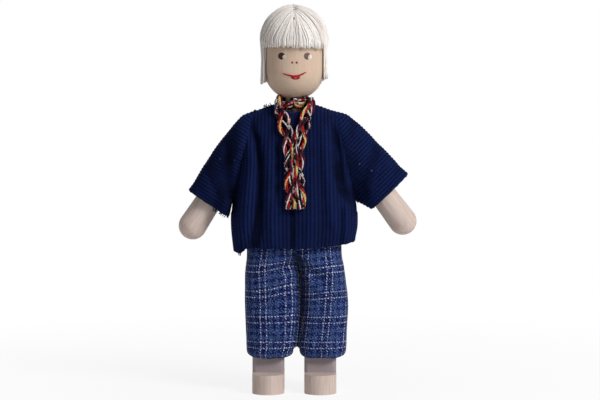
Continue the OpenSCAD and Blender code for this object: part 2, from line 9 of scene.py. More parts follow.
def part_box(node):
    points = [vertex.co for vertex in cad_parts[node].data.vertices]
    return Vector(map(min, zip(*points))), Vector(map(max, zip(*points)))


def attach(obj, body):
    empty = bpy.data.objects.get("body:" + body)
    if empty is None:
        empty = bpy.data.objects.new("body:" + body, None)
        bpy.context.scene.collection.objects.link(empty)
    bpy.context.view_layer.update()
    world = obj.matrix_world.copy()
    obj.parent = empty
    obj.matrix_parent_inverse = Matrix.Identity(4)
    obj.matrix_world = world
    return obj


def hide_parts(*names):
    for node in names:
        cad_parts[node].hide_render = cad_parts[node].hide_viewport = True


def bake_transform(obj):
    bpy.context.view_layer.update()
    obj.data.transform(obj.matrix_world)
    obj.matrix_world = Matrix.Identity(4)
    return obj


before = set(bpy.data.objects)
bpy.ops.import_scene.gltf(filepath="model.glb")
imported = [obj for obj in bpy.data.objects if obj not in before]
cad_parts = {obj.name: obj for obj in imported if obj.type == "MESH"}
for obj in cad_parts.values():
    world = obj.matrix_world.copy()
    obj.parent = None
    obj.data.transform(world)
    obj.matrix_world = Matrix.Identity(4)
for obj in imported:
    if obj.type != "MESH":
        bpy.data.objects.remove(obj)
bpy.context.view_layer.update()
mm = 0.001
sides = {"left": 1, "right": -1}  # the doll's own, and the way that each lies along x

# the doll's middle comes from the turned head
headLow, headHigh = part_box("head")
midX = (headLow.x + headHigh.x) / 2
midY = (headLow.y + headHigh.y) / 2


def place(x, y, z):  # millimetres about the doll's middle, to the frame
    return Vector((midX + x * mm, midY + y * mm, z * mm))


def ease(t):
    t = min(max(t, 0.0), 1.0)
    return t * t * (3 - 2 * t)


def mix(a, b, t):
    return a + (b - a) * t


def bell(x, middle, width):  # 1 at the middle, falling off on both sides
    return math.exp(-(((x - middle) / width) ** 2))


def readCurve(table, x):  # smooth value between the rows of a list of (place, value)
    if x <= table[0][0]:
        return table[0][1]
    if x >= table[-1][0]:
        return table[-1][1]
    last = len(table) - 1
    k = next(i for i in range(last) if table[i][0] <= x <= table[i + 1][0])

    def slope(i):
        a, b = table[max(i - 1, 0)], table[min(i + 1, last)]
        return (b[1] - a[1]) / (b[0] - a[0])

    (x0, y0), (x1, y1) = table[k], table[k + 1]
    h = x1 - x0
    t = (x - x0) / h
    return (
        (2 * t**3 - 3 * t**2 + 1) * y0 + (t**3 - 2 * t**2 + t) * h * slope(k)
        + (3 * t**2 - 2 * t**3) * y1 + (t**3 - t**2) * h * slope(k + 1)
    )


def wander(x, y, z, seed=0.0):  # soft unevenness, about -1 to 1
    return noise.noise(Vector((x + seed * 7.3, y - seed * 3.1, z + seed * 1.7)))


def finishMesh(name, bm, material):
    mesh = bpy.data.meshes.new(name)
    bm.to_mesh(mesh)
    bm.free()
    for face in mesh.polygons:
        face.use_smooth = True
    mesh.materials.append(material)
    piece = bpy.data.objects.new(name, mesh)
    bpy.context.collection.objects.link(piece)
    return piece


def addWall(piece, thick):  # thickness to the inside
    wall = piece.modifiers.new("thickness", "SOLIDIFY")
    wall.thickness = thick * mm
    wall.offset = -1


# small helpers for the materials
def linear(red, green, blue):  # screen colour 0 to 255, to what a shader takes
    def one(c):
        c = c / 255
        return c / 12.92 if c <= 0.04045 else ((c + 0.055) / 1.055) ** 2.4

    return (one(red), one(green), one(blue), 1.0)


def putIn(tree, node, sockets):  # each socket takes a link, or a plain number or colour
    for key, value in sockets.items():
        if isinstance(value, bpy.types.NodeSocket):
            tree.links.new(value, node.inputs[key])
        else:
            node.inputs[key].default_value = value


def addNode(tree, kind, sockets=None, **settings):
    node = tree.nodes.new("ShaderNode" + kind)
    for key, value in settings.items():
        setattr(node, key, value)
    putIn(tree, node, sockets or {})
    return node


def seenRays(tree):  # 1 for what the camera sees, also in a mirror or through glass
    path = addNode(tree, "LightPath")
    seen = path.outputs["Is Camera Ray"]
    for ray in ("Is Glossy Ray", "Is Transmission Ray"):
        both = addNode(tree, "Math", {0: seen, 1: path.outputs[ray]}, operation="MAXIMUM")
        seen = both.outputs["Value"]
    return seen


class Finish:
    def __init__(self, name, roughness, specular=0.4):
        self.material = bpy.data.materials.new(name)
        self.material.use_nodes = True
        self.tree = self.material.node_tree
        self.shader = self.tree.nodes["Principled BSDF"]
        self.give({"Roughness": roughness, "Specular IOR Level": specular})

    def give(self, sockets):
        putIn(self.tree, self.shader, sockets)

    def add(self, kind, sockets=None, **settings):
        return addNode(self.tree, kind, sockets, **settings)

    def place(self, turn=(0, 0, 0), scale=(1, 1, 1)):  # Object coordinates, turned and then scaled
        at = self.add("TexCoord").outputs["Object"]
        turned = self.add("Mapping", {"Vector": at, "Rotation": turn}).outputs["Vector"]
        return self.add("Mapping", {"Vector": turned, "Scale": scale}).outputs["Vector"]

    def clothPlace(self):  # the piece's own cloth map, in millimetres
        uv = self.add("UVMap", uv_map="cloth").outputs["UV"]
        return self.add("Mapping", {"Vector": uv, "Scale": (100, 100, 100)}).outputs["Vector"]

    def noise(self, at, scale, detail=3.0, rough=0.55):
        sockets = {"Vector": at, "Scale": scale, "Detail": detail, "Roughness": rough}
        return self.add("TexNoise", sockets).outputs["Fac"]

    def attribute(self, name):
        return self.add("Attribute", attribute_name=name).outputs["Fac"]

    def math(self, kind, *values):
        return self.add("Math", dict(enumerate(values)), operation=kind).outputs["Value"]

    def span(self, value, low, high, fromLow=0.0, fromHigh=1.0):
        sockets = {"Value": value, "From Min": low, "From Max": high, "To Min": fromLow, "To Max": fromHigh}
        return self.add("MapRange", sockets).outputs["Result"]

    def ramp(self, value, stops, change="LINEAR"):
        node = self.add("ValToRGB", {"Fac": value})
        node.color_ramp.interpolation = change
        points = node.color_ramp.elements
        while len(points) < len(stops):
            points.new(0.5)
        for point, (at, rgb) in zip(points, stops):
            point.position = at
            point.color = linear(*rgb)
        return node.outputs["Color"]

    def blend(self, share, a, b):
        return self.add("Mix", {"Factor": share, 6: a, 7: b}, data_type="RGBA").outputs[2]

    def tint(self, colour, rgb, value, low, high, share):  # more of rgb as the value goes from low to high
        return self.blend(self.span(value, low, high, 0.0, share), colour, linear(*rgb))

    def bump(self, height, strength, distance):
        node = self.add("Bump", {"Height": height, "Strength": strength, "Distance": distance})
        self.give({"Normal": node.outputs["Normal"]})


def twoTone(name, rough, specular, stops, grain, stretch=1, bump=None):  # a plain finish, mottled
    finish = Finish(name, rough, specular)
    grains = finish.noise(finish.place(scale=(1, 1, stretch)), *grain)
    finish.give({"Base Color": finish.ramp(grains, stops)})
    if bump:
        finish.bump(grains, *bump)
    return finish.material


# stage, camera and light: each lamp's power, place and size
view = {
    "lens": 135, "sensor": 36, "nearest": 0.02, "distance": 0.754, "aim": (0.0008, 0.0003, 0.0641),
    "elevation": 4.0,
}
light = {
    "world": 0.2, "aim": (0, 0, 0.07),
    "lamps": {
        "keyLight": (7.6, (0.62, -0.56, 0.6), 0.36), "fillLight": (0.3, (-0.75, -0.6, 0.25), 0.8),
        "rimLight": (0.8, (0.2, 0.7, 0.7), 0.6),
    },
}
floorPaper = {"half": 4, "grey": 0.93, "shadowNear": 0.03, "shadowFar": 0.22, "glowNear": 0.86}


def setStage():
    scene = bpy.context.scene
    scene.view_settings.view_transform = "Standard"
    lift = math.radians(view["elevation"])
    camera = bpy.data.objects.new("camera", bpy.data.cameras.new("camera"))
    camera.data.lens = view["lens"]
    camera.data.sensor_width = view["sensor"]
    camera.data.clip_start = view["nearest"]
    camera.location = Vector(view["aim"]) + view["distance"] * Vector((0, -math.cos(lift), math.sin(lift)))
    camera.rotation_euler = (math.pi / 2 - lift, 0, 0)
    bpy.context.collection.objects.link(camera)
    scene.camera = camera

    for name, (power, at, size) in light["lamps"].items():
        lamp = bpy.data.lights.new(name, "AREA")
        lamp.energy = power
        lamp.size = size
        holder = bpy.data.objects.new(name, lamp)
        holder.location = at
        holder.rotation_euler = (Vector(light["aim"]) - Vector(at)).to_track_quat("-Z", "Y").to_euler()
        bpy.context.collection.objects.link(holder)

    world = bpy.data.worlds.new("studio")
    scene.world = world
    world.use_nodes = True
    tree = world.node_tree
    soft = tree.nodes["Background"]
    putIn(tree, soft, {"Color": (1, 1, 1, 1), "Strength": light["world"]})
    white = addNode(tree, "Background", {"Color": (1, 1, 1, 1)})
    both = addNode(tree, "MixShader", {0: seenRays(tree), 1: soft.outputs[0], 2: white.outputs[0]})
    putIn(tree, tree.nodes["World Output"], {"Surface": both.outputs[0]})

    paper = Finish("paperFloor", 0.9, 0.1)
    paper.give({"Base Color": (*[floorPaper["grey"]] * 3, 1)})
    away = paper.add("VectorMath", {0: paper.add("TexCoord").outputs["Object"]}, operation="LENGTH")
    near, far = floorPaper["shadowNear"], floorPaper["shadowFar"]
    share = paper.span(away.outputs["Value"], near, far, floorPaper["glowNear"], 1.0)
    share = paper.math("MULTIPLY", share, seenRays(paper.tree))
    glow = paper.add("Emission")
    both = paper.add("MixShader", {0: share, 1: paper.shader.outputs[0], 2: glow.outputs[0]})
    putIn(paper.tree, paper.tree.nodes["Material Output"], {"Surface": both.outputs[0]})
    bm = bmesh.new()
    bmesh.ops.create_grid(bm, x_segments=8, y_segments=8, size=floorPaper["half"])
    floor = finishMesh("floor", bm, paper.material)
    print("stage, camera and light set")


setStage()


# threads, plies and hair are bevelled curves turned into one mesh, with a shade for each strand
def strandMesh(name, strands, material, roundness=1):
    curve = bpy.data.curves.new(name + "Line", "CURVE")
    curve.dimensions = "3D"
    curve.bevel_depth = 1.0
    curve.bevel_resolution = roundness
    shades = []
    for points, radii, shade in strands:
        spline = curve.splines.new("POLY")
        spline.points.add(len(points) - 1)
        for point, at, radius in zip(spline.points, points, radii):
            point.co = (*at, 1)
            point.radius = radius
        spline.use_smooth = True
        shades += [shade] * len(points)
    holder = bpy.data.objects.new(name + "Line", curve)
    mesh = bpy.data.meshes.new_from_object(holder)
    bpy.data.objects.remove(holder)
    bpy.data.curves.remove(curve)
    ring = len(mesh.vertices) // len(shades)
    values = [shade for shade in shades for i in range(ring)]
    mesh.attributes.new("shade", "FLOAT", "POINT").data.foreach_set("value", values)
    bm = bmesh.new()
    bm.from_mesh(mesh)
    bpy.data.meshes.remove(mesh)
    bmesh.ops.holes_fill(bm, edges=[e for e in bm.edges if e.is_boundary], sides=0)
    return finishMesh(name, bm, material)


def lineRuns(points):  # how far along the line each point lies
    runs = [0.0]
    for a, b in zip(points, points[1:]):
        runs.append(runs[-1] + (b - a).length)
    return runs


def evenSteps(runs, count):  # for each of that many even steps, the stretch it falls in and the share of it
    k = 0
    for i in range(count + 1):
        goal = runs[-1] * i / count
        while k < len(runs) - 2 and runs[k + 1] < goal:
            k += 1
        yield k, min((goal - runs[k]) / max(runs[k + 1] - runs[k], 1e-9), 1)


def spaced(points, count):
    return [points[k].lerp(points[k + 1], t) for k, t in evenSteps(lineRuns(points), count)]


def smoothRoute(points, step):  # a rounded line through the points, with even steps
    fine = []
    for k in range(len(points) - 1):
        a, b = points[max(k - 1, 0)], points[k]
        c, d = points[k + 1], points[min(k + 2, len(points) - 1)]
        for i in range(24):
            t = i / 24
            fine.append(0.5 * (
                2 * b + (c - a) * t + (2 * a - 5 * b + 4 * c - d) * t**2 + (3 * b - a - 3 * c + d) * t**3
            ))
    fine.append(points[-1])
    length = lineRuns(fine)[-1]
    return spaced(fine, max(int(length / step), 2)), length


# scarf: one length of many-coloured yarn, plies twisted one way on each half
scarf = {
    "route": [
        (-0.9, -12.4, 62), (-1.4, -12.3, 70), (-1.6, -12, 78), (-2.2, -11.3, 86), (-3.8, -9.8, 91.6),
        (-5, -7.8, 95.2), (-5.5, -5.5, 97), (-5, -2.8, 97.3), (-4.5, 0, 97.3), (-3.2, 3.2, 97.3),
        (0, 4.5, 97.3), (3.2, 3.2, 97.3), (4.5, 0, 97.3), (3.2, -3.2, 96.9), (0, -4.5, 96),
        (-3.2, -3.2, 95.2), (-4.5, 0, 94.7), (-3.2, 3.2, 94.7), (0, 4.5, 94.7), (3.2, 3.2, 94.7),
        (4.5, 0, 94.7), (5, -1.8, 95.1), (5.8, -4.3, 96.8), (5.3, -7.4, 95.6), (3.8, -9.8, 91.6),
        (2.2, -11.3, 86), (1.6, -12, 78), (1.8, -12.3, 70), (2.4, -12.4, 62),
    ],
    "diameter": 2.2, "step": 0.3, "tail": 42, "halfShift": 5.2,
    "plaitLength": 19.0, "plaitWide": (0.8, 1.25), "plaitDeep": 0.42, "bundleR": 0.42, "turnLength": 9.0,
    "plyShift": 0.29, "plyTurn": 1.35, "threadOff": 0.45, "threadR": 0.66, "neckRise": 1.8, "neckLift": 0.5,
    # how far from its end a tail opens, over what length and by how much, and the same for the very end
    "tailFade": 12, "open": (27, 6, 0.8), "endOpen": (6, 0.6),
    "strays": 22, "strayReach": (0.25, 0.7), "strayRadii": (0.055, 0.05, 0.045, 0.03), "seed": 4,
    # which strand of the plait, colour, and radius of each ply
    "plies": [
        (0, "white", 0.26), (0, "black", 0.44), (0, "white", 0.23), (0, "black", 0.42), (0, "purple", 0.4),
        (1, "red", 0.42), (1, "yellow", 0.27), (1, "red", 0.4), (1, "black", 0.38), (1, "yellow", 0.24),
        (2, "black", 0.44), (2, "purple", 0.42), (2, "white", 0.23), (2, "red", 0.36), (2, "black", 0.42),
    ],
    "colours": {
        "red": (196, 22, 32), "black": (20, 12, 20), "white": (255, 248, 244), "purple": (92, 14, 48),
        "yellow": (232, 214, 132),
    },
    "darkFleck": (24, 10, 18), "paleFleck": (255, 246, 236),
}


def makeScarfYarn():
    yarn = Finish("scarfYarn", 0.92, 0.06)
    stops = [(i * 0.2, rgb) for i, rgb in enumerate(scarf["colours"].values())]
    colour = yarn.ramp(yarn.attribute("shade"), stops, "CONSTANT")
    fibre = yarn.noise(yarn.place(scale=(1, 1, 0.5)), 4200, 3, 0.7)
    fleck = yarn.noise(yarn.place(scale=(1, 1, 0.6)), 900, 2, 0.6)
    colour = yarn.tint(colour, scarf["darkFleck"], fleck, 0.58, 0.64, 0.75)
    colour = yarn.tint(colour, scarf["paleFleck"], fleck, 0.39, 0.34, 0.7)
    colour = yarn.blend(yarn.span(fibre, 0.42, 0.68, 0.0, 0.6), colour, (0.02, 0.012, 0.02, 1))
    yarn.give({"Base Color": colour, "Sheen Weight": 0.06, "Sheen Roughness": 0.5})
    yarn.bump(fibre, 0.7, 0.0003)
    return yarn.material


def strayWay(draw):  # any way but into the body
    return Vector((draw.uniform(-1, 1), draw.uniform(-1, 0.2), draw.uniform(-1, 1))).normalized()


def makeScarf():
    line, length = smoothRoute([Vector(p) for p in scarf["route"]], scarf["step"])
    count = len(line)
    # a frame that turns as little as it can along the line
    side = Vector((1, 0, 0))
    frames = []
    for i in range(count):
        ahead = (line[min(i + 1, count - 1)] - line[max(i - 1, 0)]).normalized()
        side = (side - ahead * side.dot(ahead)).normalized()
        frames.append((side.copy(), ahead.cross(side)))
    draw = random.Random(scarf["seed"])
    openAt, openWide, openBy = scarf["open"]
    endRun, endBy = scarf["endOpen"]
    strands = []
    for k, (bundle, colour, radius) in enumerate(scarf["plies"]):
        shade = list(scarf["colours"]).index(colour) * 0.2 + 0.051
        core = []
        for i in range(count):
            run = length * i / (count - 1)
            end = min(run, length - run)
            tail = ease((scarf["tail"] - end) / scarf["tailFade"])  # 1 on the tails, 0 round the neck
            loose = tail * (1 + openBy * bell(end, openAt, openWide))
            turn = run if run < length / 2 else length - run + scarf["halfShift"]
            plait = 2 * math.pi * (turn / scarf["plaitLength"] + bundle / 3)
            plait += 0.5 * wander(run * 0.1, bundle * 4.0, 0.7)
            wide = mix(*scarf["plaitWide"], tail) * (0.4 + 0.6 * loose if tail > 0 else 1)
            across, out = frames[i]
            off = across * (wide * math.sin(plait)) + out * (scarf["plaitDeep"] * math.sin(2 * plait))
            twist = 2 * math.pi * (turn / scarf["turnLength"] + k * scarf["plyShift"])
            twist += 0.9 * wander(run * 0.21, k * 1.7, 0.3)
            spread = scarf["bundleR"] * (0.85 + 0.4 * wander(run * 0.24, k * 2.9, 4.1))
            spread *= 1 + endBy * ease((endRun - end) / endRun)
            off += across * (spread * math.cos(twist)) + out * (spread * math.sin(twist))
            off.z = off.z * mix(scarf["neckRise"], 1.0, tail) + mix(scarf["neckLift"], 0.0, ease(tail * 2))
            core.append(line[i] + off)
        for half in (0, 1):  # each ply is two finer threads twisted hard
            thread, radii = [], []
            for i, at in enumerate(core):
                ahead = core[min(i + 1, count - 1)] - core[max(i - 1, 0)]
                away = ahead.cross(frames[i][0]).normalized()
                beside = ahead.cross(away).normalized()
                twist = 2 * math.pi * (length * i / (count - 1) / scarf["plyTurn"] + half / 2)
                off = away * math.cos(twist) + beside * math.sin(twist)
                thread.append(place(*(at + off * radius * scarf["threadOff"])))
                uneven = 1 + 0.16 * wander(i * 0.5, k * 3.1, half)
                radii.append(radius * scarf["threadR"] * mm * uneven)
            strands.append((thread, radii, shade))
        for stray in range(scarf["strays"]):  # loose fibres
            start = core[draw.randrange(count)]
            way = strayWay(draw)
            drift = strayWay(draw)
            reach = draw.uniform(*scarf["strayReach"])
            loop = []
            for t in (0, 0.33, 0.66, 1):
                off = way * (radius * 0.7 + t * reach) + drift * (t * t * 0.8 * reach)
                loop.append(place(*(start + off)))
            strands.append((loop, [r * mm for r in scarf["strayRadii"]], shade))
    piece = strandMesh("scarfYarnTwist", strands, makeScarfYarn())
    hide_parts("scarf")
    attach(piece, "torso")
    print("scarf made, length", round(length, 1), "mm")


makeScarf()

# woods: pale turned beech, grain along the piece
wood = {
    "light": (214, 197, 189), "dark": (188, 167, 157), "fleck": (154, 130, 118), "streak": (208, 184, 168),
    "warm": (203, 174, 144), "shin": (150, 139, 147), "blush": (224, 150, 138), "cheeks": (5.6, -8.2, 108.6),
    "fibre": 2600, "along": 70, "rough": 0.62, "splay": {"left": 37, "right": 33},
}


def makeWood(name, lean=0, warm=0.0, cheeks=(), stain=0.0):
    beech = Finish(name, wood["rough"], 0.35)
    turn = (0, math.radians(lean), 0)
    fine = beech.noise(beech.place(turn, (1, 1, wood["along"] / wood["fibre"])), wood["fibre"], 4, 0.6)
    wide = beech.noise(beech.place(turn, (1, 1, 0.08)), 420, 3, 0.5)
    flecks = beech.noise(beech.place(turn, (1, 1, 0.12)), 3600, 2, 0.5)
    colour = beech.ramp(fine, [(0.3, wood["dark"]), (0.62, wood["light"])])
    colour = beech.tint(colour, wood["streak"], wide, 0.35, 0.7, 0.45)
    colour = beech.tint(colour, wood["fleck"], flecks, 0.66, 0.74, 0.4)
    for share, key in ((warm, "warm"), (stain, "shin")):
        if share:
            colour = beech.blend(share, colour, linear(*wood[key]))
    for cheek in cheeks:
        at = beech.add("TexCoord").outputs["Object"]
        near = beech.add("VectorMath", {0: at, 1: cheek}, operation="DISTANCE").outputs["Value"]
        colour = beech.tint(colour, wood["blush"], near, 0.0030, 0.0004, 0.1)
    beech.give({"Base Color": colour, "Roughness": beech.span(fine, 0.3, 0.7, 0.72, 0.52)})
    beech.bump(fine, 0.25, 0.00012)
    return beech.material


elasticBraid = [(0.35, (150, 146, 138)), (0.65, (226, 222, 212))]  # shadow and light of the braid


def dressWood():
    x, y, z = wood["cheeks"]
    plain = makeWood("limbWood")
    dowel = makeWood("dowelWood", 90, warm=0.5)
    peg = makeWood("pegWood", warm=0.6)
    elastic = twoTone("braidedElastic", 0.8, 0.25, elasticBraid, (2200, 2), bump=(0.4, 0.0002))
    finishes = {  # by how a node's name starts
        "head": makeWood("headWood", warm=0.6, cheeks=[place(x, y, z), place(-x, y, z)]),
        "arm_left": makeWood("armWoodLeft", wood["splay"]["left"]),
        "arm_right": makeWood("armWoodRight", -wood["splay"]["right"]),
        "shin": makeWood("shinWood", stain=0.85), "torso": plain, "thigh": plain, "foot": plain,
        "shoulder_knuckle": dowel, "hip": dowel, "arm_pins": dowel, "knee_pin": dowel,
        "neck_peg": peg, "ankle_peg": peg, "shoulder_elastic": elastic, "shoulder_knots": elastic,
    }
    count = 0
    for name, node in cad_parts.items():
        for start, finish in finishes.items():
            if name.startswith(start):
                count += 1
                for slot in node.material_slots:
                    slot.material = finish
    print("wood and elastic finished on", count, "nodes")


dressWood()

# hair: off-white thread combed from a parting stitch, over a dull cap
hair = {
    "crownZ": 117.93, "outer": 11.2, "inner": 10.72, "cap": 10.32, "capThick": 0.2, "capRim": 115.9,
    "pitch": 0.37, "thread": 0.2, "clump": (2.0, 6.5), "pull": (0.05, 0.62), "seed": 11,
    "fringeZ": 115.25, "fringeSlope": 0.35, "fringeAngle": 67, "lockAngle": 98, "hug": 0.4, "flare": 0.25,
    "lockZ": {"Left": 105.0, "Right": 103.3}, "napeZ": 103.3,
    "partFront": 8.0, "partBack": 3.2, "notch": (0.5, 1.25),
    "stitchR": 11.35, "stitchHalf": 3, "stitchSteps": 12, "stitchTurn": 2.2, "stitchSway": 0.12,
    "stitchThread": 0.3,
    # thread colours; the inner layer is painted darker towards dull as painted shade, and the cap's colours
    # are painted shade
    "dull": (186, 174, 163), "middle": (240, 232, 226), "pale": (255, 251, 248), "fibre": (170, 158, 148),
    "capDark": (128, 116, 105), "capLight": (172, 160, 148),
}


def makeHairThread():
    thread = Finish("hairThread", 0.75, 0.3)
    shade = thread.attribute("shade")
    fibre = thread.noise(thread.place(scale=(1, 1, 0.15)), 5200, 2)
    colour = thread.ramp(shade, [(0.0, hair["dull"]), (0.45, hair["middle"]), (1.0, hair["pale"])])
    colour = thread.tint(colour, hair["fibre"], fibre, 0.35, 0.7, 0.25)
    thread.give({"Base Color": colour, "Sheen Weight": 0.2})
    thread.bump(fibre, 0.4, 0.00012)
    return thread.material


def aroundHead(angle, radius, z=0.0):  # degrees from the front
    turn = math.radians(angle)
    return Vector((radius * math.sin(turn), -radius * math.cos(turn), z))


def hairStrand(angle, radius, lowZ, draw, bundle, pulled):
    lie = math.radians(angle)
    back = math.cos(lie) < 0
    partY = -math.cos(lie) * (hair["partBack"] if back else hair["partFront"])
    notchWide, notchLong = hair["notch"]  # the parting ends at the front in a small open notch
    if abs(angle) < 5:
        partY -= notchLong
    aside = 0.12
    if not back:
        aside = mix(aside + notchWide * ease((abs(angle) - 3) / 3), -0.2, ease((abs(angle) - 11) / 8))
    startX = aside * (1 if math.sin(lie) >= 0 else -1) + draw.uniform(-0.2, 0.2)
    start = Vector((startX, partY + draw.uniform(-0.5, 0.5), 0))
    start.z = math.sqrt(max(radius**2 - start.x**2 - start.y**2, 1))
    start.normalize()
    arc = start.angle(aroundHead(angle, 1))
    points = []
    steps = 9
    for i in range(steps + 1):  # over the crown
        t = i / steps
        out = aroundHead(mix(angle, bundle, pulled * math.sin(math.pi * min(t, 0.75))), 1)
        lean = (math.sin((1 - t) * arc) * start + math.sin(t * arc) * out) / math.sin(arc)
        lift = radius + 0.18 * wander(angle * 0.21, t * 2.1, radius)
        points.append(lean * lift + Vector((0, 0, hair["crownZ"])))
    down = max(int((hair["crownZ"] - lowZ) / 1.6), 2)
    for i in range(1, down + 1):  # and down
        t = i / down
        z = mix(hair["crownZ"], lowZ, t)
        swing = 1.6 * wander(angle * 0.35, z * 0.12, radius * 3)
        spread = radius + 0.25 * wander(angle * 0.3, z * 0.3, radius)
        spread += hair["flare"] * t * t - hair["hug"] * ease(t * 4) if lowZ < 110 else 0.1 * t
        points.append(aroundHead(mix(angle, bundle, 0.7 * pulled) + swing, spread, z))
    return points


def hairEnd(angle):  # the group that a thread is in, and how far down it hangs
    side = "Left" if angle > 0 else "Right"
    if abs(angle) < hair["fringeAngle"]:
        return "Fringe", hair["fringeZ"] - hair["fringeSlope"] * angle / hair["fringeAngle"]
    if abs(angle) < hair["lockAngle"]:
        return "Lock" + side, hair["lockZ"][side]
    return "Back", mix(hair["lockZ"][side], hair["napeZ"], ease((abs(angle) - hair["lockAngle"] - 8) / 24))


def combHair(finish):  # gives the number of threads
    draw = random.Random(hair["seed"])
    groups = {"Fringe": [], "LockLeft": [], "LockRight": [], "Back": []}
    for layer, radius in enumerate((hair["inner"], hair["outer"])):
        count = int(2 * math.pi * radius / hair["pitch"])
        bundles, reach = [], -182.0
        while reach < 182:
            size = draw.uniform(*hair["clump"])
            bundles.append((reach + size / 2, draw.uniform(*hair["pull"]), draw.uniform(-0.2, 0.2)))
            reach += size
        for k in range(count):
            angle = -180 + 360 * (k + 0.5 * layer + draw.uniform(-0.3, 0.3)) / count
            group, lowZ = hairEnd(angle)
            lowZ += draw.uniform(-0.5, 0.4) + (0.5 if layer == 0 else 0.0)
            bundle, pulled, tone = min(bundles, key=lambda b: abs(b[0] - angle))
            line = hairStrand(angle, radius + draw.uniform(-0.12, 0.14), lowZ, draw, bundle, pulled)
            width = hair["thread"] * draw.uniform(0.82, 1.12) * mm
            radii = [width * 0.7] + [width] * (len(line) - 1)
            # the inner layer is painted darker: painted shade in the gaps between the outer threads
            shade = 0.66 + tone + draw.uniform(-0.22, 0.22) if layer else draw.uniform(0.15, 0.5)
            groups[group].append(([place(*p) for p in line], radii, shade))
    nodes = {
        "Fringe": "hair_fringe", "LockLeft": "hair_lock_left",
        "LockRight": "hair_lock_right", "Back": "hair_back",
    }
    for group, strands in groups.items():
        piece = strandMesh("hair" + group, strands, finish)
        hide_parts(nodes[group])
        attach(piece, "head")
    return sum(len(strands) for strands in groups.values())


def makeHairCap():  # painted shade: its dull colour shows dark between the threads
    bm = bmesh.new()
    rim = []
    for i in range(13):
        lean = math.radians(90 * i / 12)
        rim.append(Vector((0, -hair["cap"] * math.sin(lean), hair["crownZ"] + hair["cap"] * math.cos(lean))))
    rim += [Vector((0, -hair["cap"], z)) for z in (116.6, hair["capRim"], 112, 108, 105.4, 104.4)]
    line = [bm.verts.new(p * mm) for p in rim]
    edges = [bm.edges.new(pair) for pair in zip(line, line[1:])]
    bmesh.ops.spin(
        bm, geom=line + edges, cent=(0, 0, 0), axis=(0, 0, 1), angle=2 * math.pi, steps=72, use_merge=True,
        use_duplicate=False,
    )
    bmesh.ops.remove_doubles(bm, verts=bm.verts, dist=1e-6)

    def bare(face):
        at = face.calc_center_median() / mm
        angle = math.degrees(math.atan2(at.x, -at.y))
        return at.z < hair["capRim"] and abs(angle) < hair["fringeAngle"] + 8

    bmesh.ops.delete(bm, geom=[f for f in bm.faces if bare(f)], context="FACES")
    bmesh.ops.recalc_face_normals(bm, faces=bm.faces)
    bmesh.ops.translate(bm, verts=bm.verts, vec=place(0, 0, 0))
    stops = [(0.3, hair["capDark"]), (0.7, hair["capLight"])]
    cap = finishMesh("hairCap", bm, twoTone("hairShade", 0.95, 0.1, stops, (2600, 2), 0.2))
    addWall(cap, hair["capThick"])
    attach(cap, "head")


def stitchParting(finish):
    stitch = []
    steps, half = hair["stitchSteps"], hair["stitchHalf"]
    for i in range(steps + 1):
        y = mix(-half, half, i / steps)
        z = hair["crownZ"] + math.sqrt(hair["stitchR"] ** 2 - y * y)
        turn = i * hair["stitchTurn"]
        stitch.append(place(hair["stitchSway"] * math.sin(turn), y, z + hair["stitchSway"] * math.cos(turn)))
    radii = [hair["stitchThread"] * mm] * len(stitch)
    piece = strandMesh("partingStitch", [(stitch, radii, 0.8)], finish, 2)
    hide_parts("parting_stitch")
    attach(piece, "head")


def makeHair():
    finish = makeHairThread()
    count = combHair(finish)
    makeHairCap()
    stitchParting(finish)
    print("hair made,", count, "threads")


makeHair()

# painted face: drops of paint that follow the turned head
face = {
    "headR": 10.0, "chinZ": 107.73,
    # place and colour of each eye, and the size of its glint
    # a size is half the width, half the height and how far the paint stands out
    "eyes": {
        "Right": (-4.25, 112.3, (58, 15, 12), (0.55, 0.6, 0.11)),
        # the doll's left eye is paler brown: a painted reflection on its glossy paint
        "Left": (4.3, 112.3, (124, 94, 82), (0.75, 0.8, 0.11)),
    },
    "eyeSize": (1.12, 1.18, 0.07), "glintAt": (0.85, -0.28), "glint": (240, 234, 228),
    "nostrils": {"Right": (-0.68, 110.15), "Left": (0.8, 110.15)},
    "nostrilSize": (0.36, 0.36, 0.06), "nose": (146, 46, 36),
    "smile": [(-3.6, 106.5), (-1.7, 105.95), (0.3, 105.6), (1.9, 106.0), (3.8, 106.95)],
    "lip": (0.4, 105.25, 1.5, 0.74, 0.1), "lipGlint": (0.45, 105.2, 0.55, 0.26, 0.14), "lipLine": 0.37,
    "red": (184, 24, 36), "pink": (226, 132, 128),
}


def onFace(x, z, proud=0.0):  # a point on the head at that place as seen from the front
    drop = max(face["chinZ"] - z, 0.0)
    r = math.sqrt(face["headR"] ** 2 - drop**2)
    return place(x * (r + proud) / r, -math.sqrt(max(r * r - x * x, 0.01)) * (r + proud) / r, z)


def makePaint(name, rgb, gloss):
    stops = [(0.35, [c * 0.72 for c in rgb]), (0.65, rgb)]
    return twoTone(name, gloss, 0.25, stops, (1500, 3), bump=(0.1, 0.0001))


def paintDrop(name, x, z, wide, high, proud, finish):
    bm = bmesh.new()
    bmesh.ops.create_uvsphere(bm, u_segments=28, v_segments=14, radius=1.0)
    for vert in bm.verts:
        vert.co = onFace(x + wide * vert.co.x, z + high * vert.co.z, -proud * vert.co.y)
    bmesh.ops.recalc_face_normals(bm, faces=bm.faces)
    piece = finishMesh(name, bm, finish)
    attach(piece, "head")


